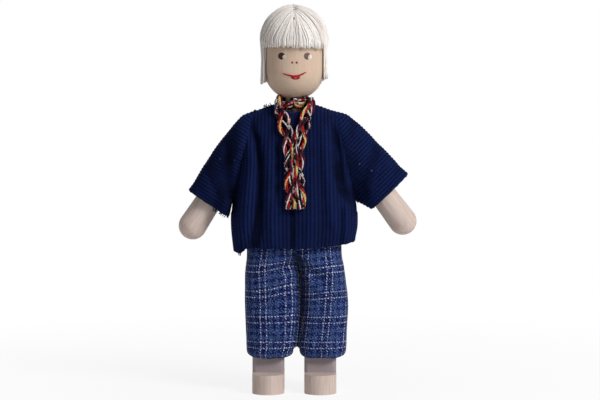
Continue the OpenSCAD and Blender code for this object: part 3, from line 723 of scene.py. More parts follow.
def makeFace():
    white = makePaint("glintPaint", face["glint"], 0.3)
    glintX, glintZ = face["glintAt"]
    for side, (x, z, rgb, glintSize) in face["eyes"].items():
        paintDrop("eye" + side, x, z, *face["eyeSize"], makePaint("eyePaint" + side, rgb, 0.45))
        paintDrop("eyeGlint" + side, x + glintX, z + glintZ, *glintSize, white)
    nose = makePaint("nosePaint", face["nose"], 0.45)
    for side, at in face["nostrils"].items():
        paintDrop("nostril" + side, *at, *face["nostrilSize"], nose)
    red = makePaint("lipPaint", face["red"], 0.4)
    line = smoothRoute([onFace(x, z) / mm for x, z in face["smile"]], 0.22)[0]
    radii = []
    for i in range(len(line)):  # thin at both ends
        share = min(max(i / (len(line) - 1), 0.06), 0.94)
        radii.append(face["lipLine"] * mm * (0.5 + 0.5 * math.sin(math.pi * share)))
    smile = strandMesh("smile", [([p * mm for p in line], radii, 0.0)], red, 2)
    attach(smile, "head")
    paintDrop("lowerLip", *face["lip"], red)
    paintDrop("lipGlint", *face["lipGlint"], makePaint("lipGlintPaint", face["pink"], 0.4))
    print("face painted")


makeFace()

# cloth is a grid laid out flat, moved onto its shape, cut to its pattern and given a thickness
cornerPower = 2.8  # how square the rounds of the clothes are


def squared(v):
    return math.copysign(abs(v) ** (2 / cornerPower), v)


def ovalSpot(wide, deep, angle):
    return Vector((wide * squared(math.sin(angle)), deep * squared(math.cos(angle)), 0))


def ovalDepth(share):  # of a squared oval, at that share of its half width
    return max(1 - min(abs(share), 1.0) ** cornerPower, 0.0) ** (1 / cornerPower)


def layCloth(columns, rows, pointAt, flatAt, ribHeight=0.0):
    bm = bmesh.new()
    bmesh.ops.create_grid(bm, x_segments=columns, y_segments=rows, size=0.5)
    cloth = bm.loops.layers.uv.new("cloth")
    for panel in bm.faces:
        for loop in panel.loops:
            u, v = flatAt(loop.vert.co.x + 0.5, loop.vert.co.y + 0.5)
            loop[cloth].uv = (u / 100, v / 100)
    # each point's rib value, which carries painted shade and painted light for the colour as well as the
    # knit's ribs
    ribAndShade = bm.verts.layers.float.new("ribAndShade")
    for vert in bm.verts:
        at, height = pointAt(vert.co.x + 0.5, vert.co.y + 0.5)
        vert.co = place(*at)
        vert[ribAndShade] = height
    bmesh.ops.remove_doubles(bm, verts=bm.verts, dist=2e-6)
    bmesh.ops.recalc_face_normals(bm, faces=bm.faces)
    if ribHeight:
        bm.normal_update()
        for vert in bm.verts:
            vert.co += vert.normal * (vert[ribAndShade] * ribHeight * mm)
    return bm


def cutCloth(bm, at, normal, clear=True):  # keeps the side that the normal points away from
    geom = bm.verts[:] + bm.edges[:] + bm.faces[:]
    bmesh.ops.bisect_plane(bm, geom=geom, dist=1e-6, plane_co=at, plane_no=normal, clear_outer=clear)


def sewPiece(name, bm, finish, thick):  # also gives the cloth's area
    for edge in bm.edges:
        edge.smooth = not edge.is_boundary  # a cut edge stays crisp
    piece = finishMesh(name, bm, finish)
    area = sum(panel.area for panel in piece.data.polygons)
    addWall(piece, thick)
    return piece, area


# sweater: ribbed navy knit, a loose body and two wide sleeves
knit = {
    "ribWidth": 1.28, "sleeveRib": 1.12, "ribHeight": 0.38, "thick": 0.75, "stepsPerRib": 6,
    # deep and lit are the navy in painted shade and painted light; deep also darkens the fuzz at random
    "navy": (13, 20, 51), "deep": (4, 6, 19), "lit": (22, 35, 81), "patch": (20, 34, 80),
    "lint": (110, 122, 160), "sheen": (70, 100, 190),
}
sweater = {
    "halfWidth": 20.6, "halfDepth": 10.7, "seamDrop": 2.5, "collarR": 6.9, "rows": 84,
    "width": [(48.4, 20.1), (55, 20.9), (61, 20.9), (64.3, 20.6), (80, 20.0), (96.4, 19.3)],
    "profile": [
        (10.6, 48.4), (10.8, 56), (10.7, 64), (10.4, 75), (9.9, 84), (9.0, 89.5), (7.4, 92.9), (4.2, 95.1),
        (0.0, 95.9),
    ],
    "pinch": [(70, 0.62), (81, 0.9), (96, 0.9)], "armpit": (20.55, 64.0), "shoulder": (13.95, 93.5),
    # hem height at each x, and how far the ribs bow in under the doll's right arm
    "hem": [
        (-20.9, -0.9), (-19, -1.5), (-17.4, -1.2), (-16.6, -0.4), (-15, 0.2), (-6, 0.3), (0, 0.1), (8, 0.6),
        (15, 1.2), (20.9, 2.4),
    ],
    "hemZ": 48.4, "bow": (0.7, -17, 76),
    # folds on the front and the back: points x and z going up, height, width
    "folds": [
        ([(-18.6, 52), (-17.0, 58), (-16.3, 64), (-15.9, 70), (-15.7, 78), (-15.8, 86)], 1.8, 2.7),
        ([(-13.2, 50), (-12.0, 58), (-11.5, 66), (-11.5, 76), (-12.2, 82), (-13.6, 88)], -1.5, 1.4),
        ([(-5.8, 66), (-5.6, 74), (-5.4, 84)], -0.7, 0.9),
        ([(-6.6, 48), (-7.6, 60), (-8.2, 72), (-8.6, 84)], 0.7, 2.2),
        ([(-0.9, 46), (-0.6, 58), (-0.8, 64)], -0.8, 0.9), ([(5.0, 46), (5.6, 60), (6.0, 74)], 0.5, 2.0),
        ([(13.6, 54), (12.0, 64), (10.8, 74), (10.2, 84), (10.0, 89)], 0.8, 1.8),
        ([(19.2, 63), (17.4, 65.5), (15.8, 69), (14.8, 73), (14.6, 78), (14.3, 84), (13.6, 88)], -2.0, 1.6),
        ([(9.4, 50), (9.2, 62), (8.8, 76), (8.6, 84)], -0.25, 1.4),
        ([(17.4, 50), (17.6, 58), (17.2, 66)], 0.8, 1.3), ([(15.4, 48), (15.6, 56), (16, 62)], -0.6, 1.0),
    ],
    "backFolds": [
        ([(-14, 50), (-13, 70), (-12, 88)], 1.2, 2.2), ([(-7, 48), (-6.4, 64), (-6, 80)], -0.8, 1.8),
        ([(2, 48), (2.6, 68), (3, 84)], 0.8, 2.2), ([(10, 48), (9.4, 66), (9, 86)], -0.7, 1.9),
        ([(15, 50), (14.4, 68), (14, 84)], 0.9, 2.0),
    ],
}


def makeKnit():
    wool = Finish("ribbedCloth", 0.95, 0.04)
    fuzz = wool.noise(wool.place(), 3400, 4, 0.65)
    patch = wool.noise(wool.place(), 190, 3)
    lint = wool.add("TexVoronoi", {"Vector": wool.place(), "Scale": 130}, feature="F1").outputs["Distance"]
    wave = {"Vector": wool.clothPlace(), "Scale": 0.36, "Distortion": 1.2, "Detail": 2.0}
    stitch = wool.add("TexWave", wave, wave_type="BANDS", bands_direction="Y", wave_profile="SIN")
    stitch = stitch.outputs["Fac"]
    # painted shade and painted light: the colour runs from deep in rib valleys, fold valleys and the armhole
    # nook towards lit on rib crests and fold ridges
    stops = [(0.0, knit["deep"]), (0.6, knit["navy"]), (1.0, knit["lit"])]
    colour = wool.ramp(wool.attribute("ribAndShade"), stops)
    colour = wool.tint(colour, knit["deep"], fuzz, 0.4, 0.75, 0.35)
    colour = wool.tint(colour, knit["patch"], patch, 0.4, 0.7, 0.3)
    colour = wool.tint(colour, knit["lint"], lint, 0.05, 0.02, 0.35)
    sheen = {"Sheen Weight": 0.03, "Sheen Roughness": 0.45, "Sheen Tint": linear(*knit["sheen"])}
    wool.give({"Base Color": colour, **sheen})
    height = wool.math("ADD", wool.math("MULTIPLY", fuzz, 0.8), wool.math("MULTIPLY", stitch, 0.5))
    wool.bump(height, 0.5, 0.0003)
    return wool.material


# a rib's profile: it raises the cloth, and in the colour it darkens the valleys between ribs as painted shade
def ribShape(index):
    return 0.36 + 0.64 * abs(math.sin(math.pi * index / knit["stepsPerRib"])) ** 0.6


armpitX, armpitZ = sweater["armpit"]
shoulderX, shoulderZ = sweater["shoulder"]
armholeOut = Vector((shoulderZ - armpitZ, 0, armpitX - shoulderX)).normalized()


def outOfArmhole(x, z):
    return (Vector((abs(x), 0, z)) - Vector((armpitX, 0, armpitZ))).dot(armholeOut)


def armholePlane(sign, away=0.0):  # a point on the armhole, moved out, and the way out of the body
    at = Vector((armpitX, 0, armpitZ)) + armholeOut * away
    return place(at.x * sign, 0, at.z), Vector((armholeOut.x * sign, 0, armholeOut.z))


def foldHeight(folds, x, z):
    total = 0.0
    for points, height, width in folds:
        low, high = points[0][1], points[-1][1]
        fade = ease((z - low + 4) / 6) * ease((high + 4 - z) / 8)
        if fade > 0:
            middle = readCurve([(up, across) for across, up in points], min(max(z, low), high))
            total += height * fade * bell(x, middle, width)
    return total


def evenAngles(count, halfWidth, halfDepth):  # angles that share a squared oval evenly
    fine = [2 * math.pi * i / 4000 for i in range(4001)]
    runs = lineRuns([ovalSpot(halfWidth, halfDepth, a) for a in fine])
    return [mix(fine[k], fine[k + 1], t) for k, t in evenSteps(runs, count)], runs[-1]


sweaterProfile, sweaterRun = smoothRoute([Vector((0, d, z)) for d, z in sweater["profile"]], 0.1)


def bodyRing(v):  # half width, half depth and height of the body, at that share of its run
    k = v * (len(sweaterProfile) - 1)
    i = min(int(k), len(sweaterProfile) - 2)
    at = sweaterProfile[i].lerp(sweaterProfile[i + 1], k - i)
    return readCurve(sweater["width"], at.z), at.y, at.z


def shoulderDrop(x, z):
    share = (abs(x) - sweater["collarR"]) / (shoulderX - sweater["collarR"])
    return sweater["seamDrop"] * min(max(share, 0.0), 1.6) * ease((z - 84) / 12.4)


armholeEdge = {}  # half depth of the body at each height of an armhole, by side and by front or back


def cutArmhole(bm, sign):
    spot, way = armholePlane(sign)
    cutCloth(bm, spot, way, clear=False)
    gone = []
    for panel in bm.faces:
        middle = panel.calc_center_median()
        if (middle - spot).dot(way) > 0 and middle.z > (armpitZ - 0.4) * mm:
            gone.append(panel)
    bmesh.ops.delete(bm, geom=gone, context="FACES")
    edge = [
        (v.co - place(0, 0, 0)) / mm for v in bm.verts
        if v.is_boundary and abs((v.co - spot).dot(way)) < 2e-6 and v.co.z > armpitZ * mm
    ]
    for facing in (-1, 1):
        half = sorted((p.z, abs(p.y)) for p in edge if p.y * facing > 0)
        armholeEdge[sign, facing] = [p for k, p in enumerate(half) if k == 0 or p[0] - half[k - 1][0] > 0.02]


def makeSweaterBody(finish):
    girth = evenAngles(4, sweater["halfWidth"], sweater["halfDepth"])[1]
    ribs = round(girth / knit["ribWidth"] / 2) * 2
    columns = ribs * knit["stepsPerRib"]
    angles = evenAngles(columns, sweater["halfWidth"], sweater["halfDepth"])[0]

    def pointAt(u, v):
        i = round(u * columns)
        angle = angles[i] + math.pi  # starts in the middle of the back
        wide, depth, z = bodyRing(v)
        x = wide * squared(math.sin(angle))
        y = depth * ovalDepth(x / wide)
        z -= shoulderDrop(x, z)
        front = math.cos(angle) > 0
        inside = -outOfArmhole(x, z)
        if z > armpitZ - 6:
            pinch = (1 - readCurve(sweater["pinch"], z)) * (1.0 if x > 0 else 0.45)
            y *= 1 - pinch * (1 - ease(inside / 3.2)) * ease((z - armpitZ + 6) / 8)
        swell = foldHeight(sweater["folds"] if front else sweater["backFolds"], x, z)
        swell *= ease((sweater["halfWidth"] - abs(x)) / 5) * ease((depth - 4) / 5)
        if z > 70 and (x > 0 or not front):
            swell *= ease(inside / 3)
        shade = 0.75 * ease(-swell / 0.9)  # little light gets into the valleys
        if z > armpitZ - 4:
            nook = 0.85 * (1 - ease(inside / 2.6)) * ease((88 - z) / 8)
            shade = max(shade, nook * (1 - 0.85 * ease((z - 65) / 5) if front else 1.0))
        swell = max(swell, -0.4 - 1.2 * ease((z - 58) / 8))  # clear of the trousers
        y += swell + 0.12 * wander(x * 0.5, z * 0.35, 2.0 if front else 9.0)
        if front:
            bow, bowX, bowZ = sweater["bow"]
            x += bow * bell(x, bowX, 4) * bell(z, bowZ, 7)
        z += readCurve(sweater["hem"], x) * (1 - ease((z - sweater["hemZ"]) / 9))
        raw = 0.35 * wander(x * 0.9, 1.0 if front else 6.0, 0.0) + 0.2 * wander(x * 4, 3.0, 0.0)
        z += raw * ease((0.06 - v) / 0.06)
        # painted shade in valleys and nooks, and painted light on fold ridges, go into the value with the
        # rib's shape
        return (x, -y if front else y, z), ribShape(i) * (1 - shade) * (0.84 + 0.16 * ease(swell))

    def inCollar(panel):
        spot = (panel.calc_center_median() - place(0, 0, 0)) / mm
        jag = 0.35 * wander(spot.x * 1.6, spot.y * 1.6, 1.0)
        return spot.z > 90 and math.hypot(spot.x, spot.y) < sweater["collarR"] + jag

    def flatAt(u, v):
        return u * girth, v * sweaterRun

    bm = layCloth(columns, sweater["rows"], pointAt, flatAt, knit["ribHeight"])
    for sign in sides.values():
        cutArmhole(bm, sign)
    bmesh.ops.delete(bm, geom=[f for f in bm.faces if inCollar(f)], context="FACES")
    piece, area = sewPiece("sweaterBody", bm, finish, knit["thick"])
    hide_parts("sweater_front", "sweater_back")
    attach(piece, "torso")
    print("sweater body made,", ribs, "ribs")


sleeve = {
    "shoulder": (13.0, 88.0), "halfDepth": 6.656, "columns": 72, "girth": 46.0,
    # how far out of the armhole the cloth starts, and the stretch from torso to knuckle, where the sleeve is
    # cut, and from knuckle to arm
    "tuck": -0.8, "blendTorso": 3.2, "blendArm": 6.5, "blendAt": (13.0, 86.0),
    # upper and lower corner of each cuff, the crest of the shoulder, and the rise of the line between them
    "cuff": {"left": ((37.7, 72.6), (26.2, 61.5)), "right": ((35.0, 67.3), (22.0, 59.0))},
    "crest": {"left": (18.5, 91.9), "right": (17.7, 91.8)}, "bulge": {"left": 0.4, "right": 1.0},
    # how far out of the armhole the valley beside the body lies at each height
    "valley": {
        "left": [(64, 0.0), (93, 0.0)],
        "right": [(64, 0.2), (68, 1.4), (72, 2.8), (76, 4.0), (82, 5.0), (90, 5.4)],
    },
    # how much the folds sag, and the painted shade that dims each sleeve away from the armhole, the doll's
    # right one more
    "sag": {"left": 0.35, "right": 0.6}, "shadeDim": {"left": 0.92, "right": 0.8},
}
sleeveJoint = Vector((sleeve["shoulder"][0], 0, sleeve["shoulder"][1]))


def makeSleeve(side, sign, finish):
    upperCorner, lowerCorner = sleeve["cuff"][side]
    rise = Vector((upperCorner[0] - lowerCorner[0], 0, upperCorner[1] - lowerCorner[1])).normalized()
    out = Vector((rise.z, 0, -rise.x))

    def along(x, z):
        off = Vector((x, 0, z)) - sleeveJoint
        return off.dot(out), off.dot(rise)

    cuff, cuffTop, crest = along(*lowerCorner), along(*upperCorner), along(*sleeve["crest"][side])
    armpit, top = along(*sweater["armpit"]), along(*sweater["shoulder"])
    lowSlope = (cuff[1] - armpit[1]) / (cuff[0] - armpit[0])
    between = (mix(crest[0], cuff[0], 0.5), mix(crest[1], cuffTop[1], 0.5) + sleeve["bulge"][side])
    topLine = [(top[0] - 3, top[1] - 2.4), top, crest, between, cuffTop]
    ribs = math.ceil((cuff[0] - top[0] + 1) / knit["sleeveRib"])
    rows = ribs * knit["stepsPerRib"]
    run = ribs * knit["sleeveRib"]

    def section(a):  # middle and half height of the sleeve, at that place along it
        high = readCurve(topLine, a)
        low = cuff[1] + lowSlope * (a - cuff[0])
        return (high + low) / 2, max((high - low) / 2, 0.8)

    def depthFit(y, z):  # makes the sleeve as deep at the armhole as the body is there
        height = min(max(z, armpitZ + 0.2), shoulderZ - 0.2)
        edgeX = mix(armpitX, shoulderX, (height - armpitZ) / (shoulderZ - armpitZ))
        a, r = along(edgeX, height)
        mid, half = section(a)
        own = sleeve["halfDepth"] * ovalDepth((r - mid) / half)
        depth = readCurve(armholeEdge[sign, -1 if y < 0 else 1], height)
        return min(max(depth / max(own, 0.3), 0.4), 1.9)

    def pointAt(u, v):
        a = cuff[0] - run * (1 - v)
        angle = 2 * math.pi * u
        mid, half = section(a)
        flare = 1 + 0.03 * ease((a - cuff[0] + 4) / 4)
        r = mid + half * flare * squared(math.cos(angle))
        y = sleeve["halfDepth"] * squared(math.sin(angle))
        spot = sleeveJoint + out * a + rise * r
        away = outOfArmhole(spot.x, spot.z)
        y *= mix(depthFit(y, spot.z), 1.0, ease(away / 6))
        y *= 1 - 0.1 * ease(-away / 0.8)  # tucked under the edge of the body
        valley = readCurve(sleeve["valley"][side], spot.z)
        nook = bell(away, valley, 1.7) * ease((91 - spot.z) / 8)
        y *= 1 - (0.12 if valley > 0.5 else 0.0) * nook
        sag = sleeve["sag"][side] * math.sin(a * 0.55 + r * 0.35 + sign)
        sag *= ease(away / 5) * ease((cuff[0] - a) / 5)
        y += math.copysign(sag, y) * abs(math.sin(angle))
        fray = 0.16 * wander(u * 30, 2.0, sign) + 0.22 * wander(u * 90, 5.0, sign)
        spot += out * (fray * ease((a - cuff[0] + 0.8) / 0.8))
        # painted shade beside the body, near the armhole and in the sag folds' valleys
        shade = 0.85 * nook
        if side == "left":
            shade = (0.3 if y < 0 else 0.85) * (1 - ease(away / 4.5)) * ease((90 - spot.z) / 9)
        shade = max(shade, 0.4 * ease(-sag / 0.4))
        shadeDim = mix(1.0, sleeve["shadeDim"][side], ease(away / 5))
        return (spot.x * sign, y, spot.z), ribShape((1 - v) * rows) * (1 - shade) * shadeDim

    def flatAt(u, v):
        return v * run, u * sleeve["girth"]

    def build(name, cuts):
        bm = layCloth(sleeve["columns"], rows, pointAt, flatAt, knit["ribHeight"])
        for away, way in cuts:
            at, armOut = armholePlane(sign, away)
            cutCloth(bm, at, armOut * way)
        return sewPiece(name + side.capitalize(), bm, finish, knit["thick"])

    near, far = sleeve["blendTorso"], sleeve["blendTorso"] + sleeve["blendArm"]
    upper, upperArea = build("sleeveUpper", [(sleeve["tuck"], -1), (near, 1)])
    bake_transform(upper)
    lower, lowerArea = build("sleeveLower", [(near, -1)])
    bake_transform(lower)
    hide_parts("sleeve_" + side)
    print(side, "sleeve made,", ribs, "ribs")


# cloth that each arm carries with it inside the sleeve, so that no wood breaks through when the arm swings
lining = {
    "first": -1.5, "last": 20.5, "ballR": 4.0, "armR": 3.3, "taper": 0.0362, "ease": 0.5, "girth": 28,
    "columns": 48, "ribHeight": 0.15, "thick": 0.3, "shadeDim": 0.75, "innerX": 11.2,
}


def makeLining(side, sign, finish):
    splay = math.radians(wood["splay"][side])
    axis = Vector((math.sin(splay), 0, -math.cos(splay)))
    across = Vector((math.cos(splay), 0, math.sin(splay)))
    long = lining["last"] - lining["first"]
    rows = round(long / knit["sleeveRib"]) * knit["stepsPerRib"]

    def pointAt(u, v):
        s = mix(lining["first"], lining["last"], v)
        ball = math.sqrt(max(lining["ballR"] ** 2 - s * s, 0.0))
        r = max(ball, lining["armR"] + lining["taper"] * s if s > 0 else 0.0) + lining["ease"]
        spot = sleeveJoint + axis * s + across * (r * math.cos(2 * math.pi * u))
        # the lining's ribs are dimmed by painted shade, as it lies inside the sleeve
        return (spot.x * sign, r * math.sin(2 * math.pi * u), spot.z), ribShape(v * rows) * lining["shadeDim"]

    def flatAt(u, v):
        return v * long, u * lining["girth"]

    bm = layCloth(lining["columns"], rows, pointAt, flatAt, lining["ribHeight"])
    cutCloth(bm, place(lining["innerX"] * sign, 0, 0), Vector((-sign, 0, 0)))
    piece, area = sewPiece("sleeveLining" + side.capitalize(), bm, finish, lining["thick"])
    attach(piece, "arm_" + side)


# loose threads at the raw edges: place, way out, spread, count and length
looseThreads = {
    "cuffThreads": ("arm_right", [
        ((-22.4, -3.0, 59.6), (-0.2, -0.1, -1), 0.6, 12, 1.2),
        ((-24.0, -3.6, 60.3), (-0.5, -0.1, -1), 0.7, 10, 1.1),
        ((-26.2, -3.8, 61.2), (-0.6, -0.1, -1), 0.7, 7, 0.8),
    ]),
    "hemThreads": ("torso", [
        ((-18.6, -6.6, 47.4), (0.1, -0.1, -1), 0.8, 12, 0.8),
        ((-7.8, -3.2, 95.2), (-0.4, -0.2, 1), 0.6, 12, 0.7),
        ((-9.4, -2.4, 94.9), (-0.5, -0.1, 1), 0.8, 14, 0.7),
        ((8.4, -3.0, 94.8), (0.4, -0.2, 1), 0.7, 10, 0.6),
        ((20.6, -3.4, 64.6), (0.6, -0.2, -0.8), 0.5, 4, 1.0),
    ]),
}
looseThread = {"dark": (8, 12, 34), "lit": (26, 40, 88), "radius": 0.15, "tip": 0.08, "seed": 11}


def makeLooseThreads():
    thread = Finish("looseThread", 0.9, 0.04)
    stops = [(0.0, looseThread["dark"]), (1.0, looseThread["lit"])]
    thread.give({"Base Color": thread.ramp(thread.attribute("shade"), stops)})
    draw = random.Random(looseThread["seed"])
    radii = [looseThread["radius"] * mm] * 6 + [looseThread["tip"] * mm]

    def anyWay(reach):
        return Vector([draw.uniform(-reach, reach) for i in range(3)])

    for name, (body, spots) in looseThreads.items():
        strands = []
        for at, way, spread, count, long in spots:
            for k in range(count):
                start = Vector(at) + anyWay(spread)
                out = (Vector(way).normalized() + anyWay(0.5)) * long * draw.uniform(0.5, 1)
                curl = anyWay(0.4) * long
                steps = (-0.3, 0.0, 0.2, 0.4, 0.6, 0.8, 1.0)
                points = [place(*(start + out * t + curl * t * t)) for t in steps]
                strands.append((points, radii, draw.random()))
        piece = strandMesh(name, strands, thread.material)
        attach(piece, body)


def makeSweater():
    finish = makeKnit()
    makeLooseThreads()
    makeSweaterBody(finish)
    for side, sign in sides.items():
        makeSleeve(side, sign, finish)
        makeLining(side, sign, finish)


makeSweater()

# trousers: checked twill, a seat on the body and two legs, each cut in two at the knee
trousers = {
    "legX": 8.7, "waistZ": 59.0, "seatCutZ": 50.0, "legCutZ": 36.0, "thick": 0.55,
    "hipBlend": (50, 41), "kneeBlend": (32, 22), "legGirth": 57.0, "seatGirth": 86, "seatGrid": (160, 26),
    "seat": [(50.0, 15.8, 8.85), (53, 15.7, 8.75), (57, 15.0, 8.4), (59, 14.6, 8.2)],
    # height and reach of a leg's cloth from the leg's middle: outwards, inwards, to the front and back
    "legOut": [
        (11.6, 7.45), (12.1, 7.8), (13, 8.0), (15, 8.1), (20, 8.25),
        (30, 8.6), (36, 8.35), (42, 7.75), (46, 7.2), (50, 7.1),
    ],
    "legIn": [(11.6, 7.2), (12.1, 7.55), (13.4, 7.75), (14.2, 8.1), (15.2, 8.65), (50, 8.75)],
    "legDeep": [(11.6, 7.5), (12.2, 8.0), (13.5, 8.3), (27, 8.35), (38, 8.6), (50, 8.7)],
    "inseam": [(12, 0.0), (15, 0.1), (22, 0.8), (30, 1.2), (40, 1.2), (46, 0.3), (50, 0.0)],
    "touch": {"left": 0.02, "right": -0.07}, "lean": 0.75, "hemZ": 11.6, "hemRise": 0.7, "turnIn": 2.6,
    "hemWall": 0.9, "legGrid": (96, 110),
    "checks": {"left": [(12, -3.4), (50, -7.2)], "right": [(12, -1.0), (50, -1.0)]},
    "checkPull": {"left": -1.4, "right": 2.2},
    # painted shade between the legs: how dark, how wide low down and high up, and the height and run of the
    # change
    "between": {"left": (0.95, 2.6, 5.4, 14, 16), "right": (0.75, 1.6, 3.2, 38, 6)},
    # creases on the front of a leg: inner x and z, outer x and z, height, width
    "creases": [
        (1.2, 46.5, 13.5, 39.5, 0.75, 1.2), (1.6, 43.5, 12.0, 35.0, -0.6, 1.1),
        (2.0, 40.5, 11.0, 31.0, 0.5, 1.2), (16.0, 30.5, 4.0, 27.5, -0.45, 1.3),
        (16.0, 26.0, 5.0, 24.5, 0.35, 1.3), (15.0, 19.5, 4.0, 17.5, -0.3, 1.4),
    ],
}
twill = {
    "across": 7.8, "acrossShift": 98.9, "down": 8.5, "downShift": 105.1, "slant": 0.95,
    # shares of a period: middles and half width of the grey bands, and the two pale lines
    "bands": (0.56, 0.84), "bandHalf": 0.075, "lines": (0.14, 0.382), "lineWidth": 0.38,
    "ground": (12, 26, 96), "deep": (5, 10, 40), "grey": (72, 97, 154), "white": (218, 228, 255),
    # nook is the colour of the painted shade between the legs
    "worn": (92, 112, 156), "lint": (142, 166, 222), "nook": (5, 9, 30),
}


def makeTwill():
    cloth = Finish("checkedCloth", 0.95, 0.06)
    at = cloth.clothPlace()
    parts = cloth.add("SeparateXYZ", {0: at})
    u, v = parts.outputs["X"], parts.outputs["Y"]
    slub = cloth.span(cloth.noise(at, 0.9, 2), 0.36, 0.5, 0.25, 1.0)  # the pale lines come and go

    def yarnColour(along, period, shift):  # navy, two grey bands, and two pale lines
        spot = cloth.math("WRAP", cloth.math("ADD", along, shift), period, 0.0)
        colour = linear(*twill["ground"])
        for middle in twill["bands"]:
            band = cloth.math("COMPARE", spot, period * middle, period * twill["bandHalf"])
            colour = cloth.blend(band, colour, linear(*twill["grey"]))
        for line in twill["lines"]:
            pale = cloth.math("COMPARE", spot, period * line, twill["lineWidth"] / 2)
            colour = cloth.blend(cloth.math("MULTIPLY", pale, slub), colour, linear(*twill["white"]))
        return colour

    warp = yarnColour(u, twill["across"], twill["acrossShift"])
    weft = yarnColour(v, twill["down"], twill["downShift"])
    slant = cloth.math("MULTIPLY", cloth.math("ADD", u, v), 2 * math.pi / twill["slant"])
    wale = cloth.math("SINE", slant)
    fuzz = cloth.noise(at, 2.6, 3, 0.7)
    colour = cloth.blend(cloth.math("GREATER_THAN", wale, 0.0), warp, weft)
    colour = cloth.tint(colour, twill["deep"], fuzz, 0.43, 0.57, 0.92)
    colour = cloth.tint(colour, twill["worn"], cloth.noise(at, 1.7, 2, 0.6), 0.52, 0.68, 0.3)
    colour = cloth.tint(colour, twill["lint"], cloth.noise(cloth.place(), 2300, 2, 0.5), 0.61, 0.68, 0.5)
    # painted shade between the legs, from each point's value
    nook = cloth.math("MULTIPLY", cloth.attribute("ribAndShade"), 0.85)
    colour = cloth.blend(nook, colour, linear(*twill["nook"]))
    cloth.give({"Base Color": colour, "Sheen Weight": 0.05, "Sheen Roughness": 0.5})
    cloth.bump(cloth.math("ADD", cloth.math("MULTIPLY", wale, 0.5), fuzz), 0.45, 0.00022)
    return cloth.material


def seatSize(z):
    return [readCurve([(row[0], row[k]) for row in trousers["seat"]], z) for k in (1, 2)]


def halfSeat(z):  # from the middle of the front, round the side, to the middle of the back
    wide, deep = seatSize(z)
    return [ovalSpot(wide, -deep, math.pi * i / 200) for i in range(201)]


def makeSeat(finish):
    columns, rows = trousers["seatGrid"]
    middle = columns // 2

    @cache
    def half(z):
        return spaced(halfSeat(z), middle)

    def pointAt(u, v):
        z = mix(trousers["seatCutZ"], trousers["waistZ"], v)
        i = round(u * columns) - middle
        at = half(z)[abs(i)].copy()
        at += at.normalized() * (0.14 * math.sin(i * 1.25) * ease((z - 54) / 4))  # gathers
        return (math.copysign(at.x, i) if i else at.x, at.y, z), 0.0

    def flatAt(u, v):
        return (u - 0.5) * trousers["seatGirth"], mix(trousers["seatCutZ"], trousers["waistZ"], v)

    bm = layCloth(columns, rows, pointAt, flatAt)
    piece, area = sewPiece("trouserSeat", bm, finish, trousers["thick"])
    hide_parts("trouser_seat")
    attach(piece, "torso")


def creaseHeight(x, z):
    total = 0.0
    for x0, z0, x1, z1, height, width in trousers["creases"]:
        lie = Vector((x1 - x0, z1 - z0))
        off = Vector((x - x0, z - z0))
        t = off.dot(lie) / lie.length_squared
        total += height * bell((off - lie * t).length, 0, width) * ease(t * 4 + 0.5) * ease((1 - t) * 3)
    return total


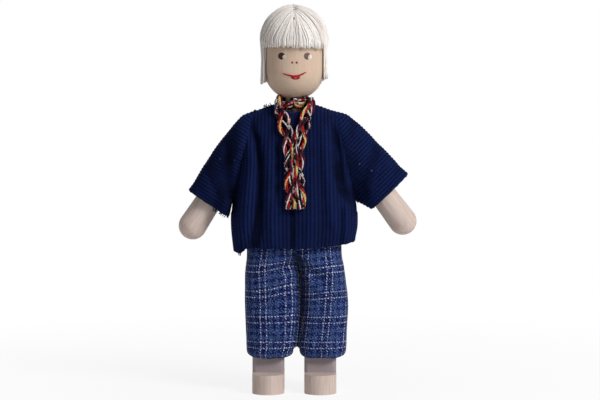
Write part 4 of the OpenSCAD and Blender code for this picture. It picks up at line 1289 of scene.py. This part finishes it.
def makeLeg(side, sign, finish):
    columns, rows = trousers["legGrid"]
    outer = columns * 3 // 4  # columns from the middle of the front to the middle of the back
    topZ, hemZ, legX = trousers["seatCutZ"], trousers["hemZ"], trousers["legX"]
    touch = trousers["touch"][side]
    run = topZ - hemZ + trousers["turnIn"]

    @cache
    def ring(row):
        drop = run * (1 - row / rows)
        z = max(topZ - drop, hemZ)
        turned = max(drop - (topZ - hemZ), 0.0)  # cloth turned up inside the hem
        wall = trousers["hemWall"] * ease(turned / trousers["hemWall"])
        outWide, inWide, deep = (readCurve(trousers[key], z) - wall for key in ("legOut", "legIn", "legDeep"))

        def oval(start, end, steps=160):
            line = []
            for i in range(steps + 1):
                angle = math.radians(mix(start, end, i / steps))
                wide = outWide if math.cos(angle) > 0 else inWide
                x = legX + wide * squared(math.cos(angle))
                line.append(Vector((x, deep * squared(math.sin(angle)), 0)))
            return line

        leg = spaced(oval(-142, 142), outer) + spaced(oval(142, 218), columns - outer)[1:]
        share = ease((z - 41) / 8.5)
        if share > 0:  # goes over into the shape of the seat
            line = halfSeat(topZ)
            inner = [Vector((touch, y, 0)) for y in (line[-1].y, 0.0, line[0].y)]
            seat = spaced(line, outer) + spaced(inner, columns - outer)[1:]
            leg = [a.lerp(b, share) for a, b in zip(leg, seat)]
        return leg, z + turned * 0.92

    def pointAt(u, v):
        i = round(u * columns)
        leg, z = ring(round(v * rows))
        at = leg[i].copy()
        front = ease((-at.y - 3) / 3)
        swell = creaseHeight(at.x, z) * front
        swell += 0.25 * wander(at.x * 0.25, at.y * 0.25, z * 0.16, 3 + sign)
        at += (at - Vector((legX, 0, 0))).normalized() * (swell * ease((topZ - z) / 3))
        meet = ease((1.6 - leg[i].x) / 1.2) * ease((z - 14.2) / 1)
        at.x = max(mix(at.x, touch, meet), touch)
        lean = trousers["lean"] * ease((48 - z) / 22)  # both legs hang a little to the doll's left
        lean += readCurve(trousers["inseam"], z) * ease((6.5 - at.x) / 6)
        dark, low, high, firstZ, rise = trousers["between"][side]
        wide = mix(low, high, ease((z - firstZ) / rise))
        shade = dark * ease((wide - at.x) / wide) * front * ease((49 - z) / 3)
        z += trousers["hemRise"] * ease((abs(at.x - legX) - 3.5) / 4.5) * ease((hemZ + 5 - z) / 5)
        z += 0.25 * wander(at.x * 0.3, at.y * 0.3, 5.0, sign) * ease((hemZ + 3 - z) / 3)
        return (at.x * sign + lean, at.y, z), shade

    girth = trousers["legGirth"]

    def flatAt(u, v):  # the creases at the crotch pull the checks out of line
        down = topZ - run * (1 - v)
        spread = (1 - ease(u / 0.24) if u < 0.6 else ease((u - 0.9) / 0.1)) * bell(down, 38, 9)
        across = sign * u * girth + readCurve(trousers["checks"][side], down)
        return across, down - spread * trousers["checkPull"][side]

    def build(name, way):
        bm = layCloth(columns, rows, pointAt, flatAt)
        cutCloth(bm, place(0, 0, trousers["legCutZ"]), Vector((0, 0, way)))
        return sewPiece(name + side.capitalize(), bm, finish, trousers["thick"])

    upper, upperArea = build("trouserThigh", -1)
    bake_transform(upper)
    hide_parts("trouser_thigh_" + side)
    lower, lowerArea = build("trouserShin", 1)
    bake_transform(lower)
    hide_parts("trouser_shin_" + side)


waistBand = {
    "low": 55.4, "high": 58.4, "inset": 1.25, "girth": 76, "thick": 0.4, "grid": (150, 8), "crimp": 1.6,
    "sizeZ": 58.0, "leastArea": 0.3 * 0.00076,
}


def makeWaistBand():
    wide, deep = (size - waistBand["inset"] for size in seatSize(waistBand["sizeZ"]))
    columns, rows = waistBand["grid"]
    ringLine = spaced([ovalSpot(wide, deep, 2 * math.pi * k / 800) for k in range(801)], columns)

    def pointAt(u, v):
        i = round(u * columns)
        crimp = math.sin(i * waistBand["crimp"])
        at = ringLine[i % columns] * (1 + 0.012 * crimp)
        return (at.x, at.y, mix(waistBand["low"], waistBand["high"], v)), 0.5 + 0.5 * crimp

    def flatAt(u, v):
        return u * waistBand["girth"], v * (waistBand["high"] - waistBand["low"])

    bm = layCloth(columns, rows, pointAt, flatAt)
    finish = bpy.data.materials["braidedElastic"]
    piece, area = sewPiece("waistElastic", bm, finish, waistBand["thick"])
    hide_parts("waist_elastic")
    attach(piece, "torso")
    area = max(area, waistBand["leastArea"])


def makeTrousers():
    finish = makeTwill()
    makeSeat(finish)
    for side, sign in sides.items():
        makeLeg(side, sign, finish)
    makeWaistBand()
    print("trousers made")


makeTrousers()
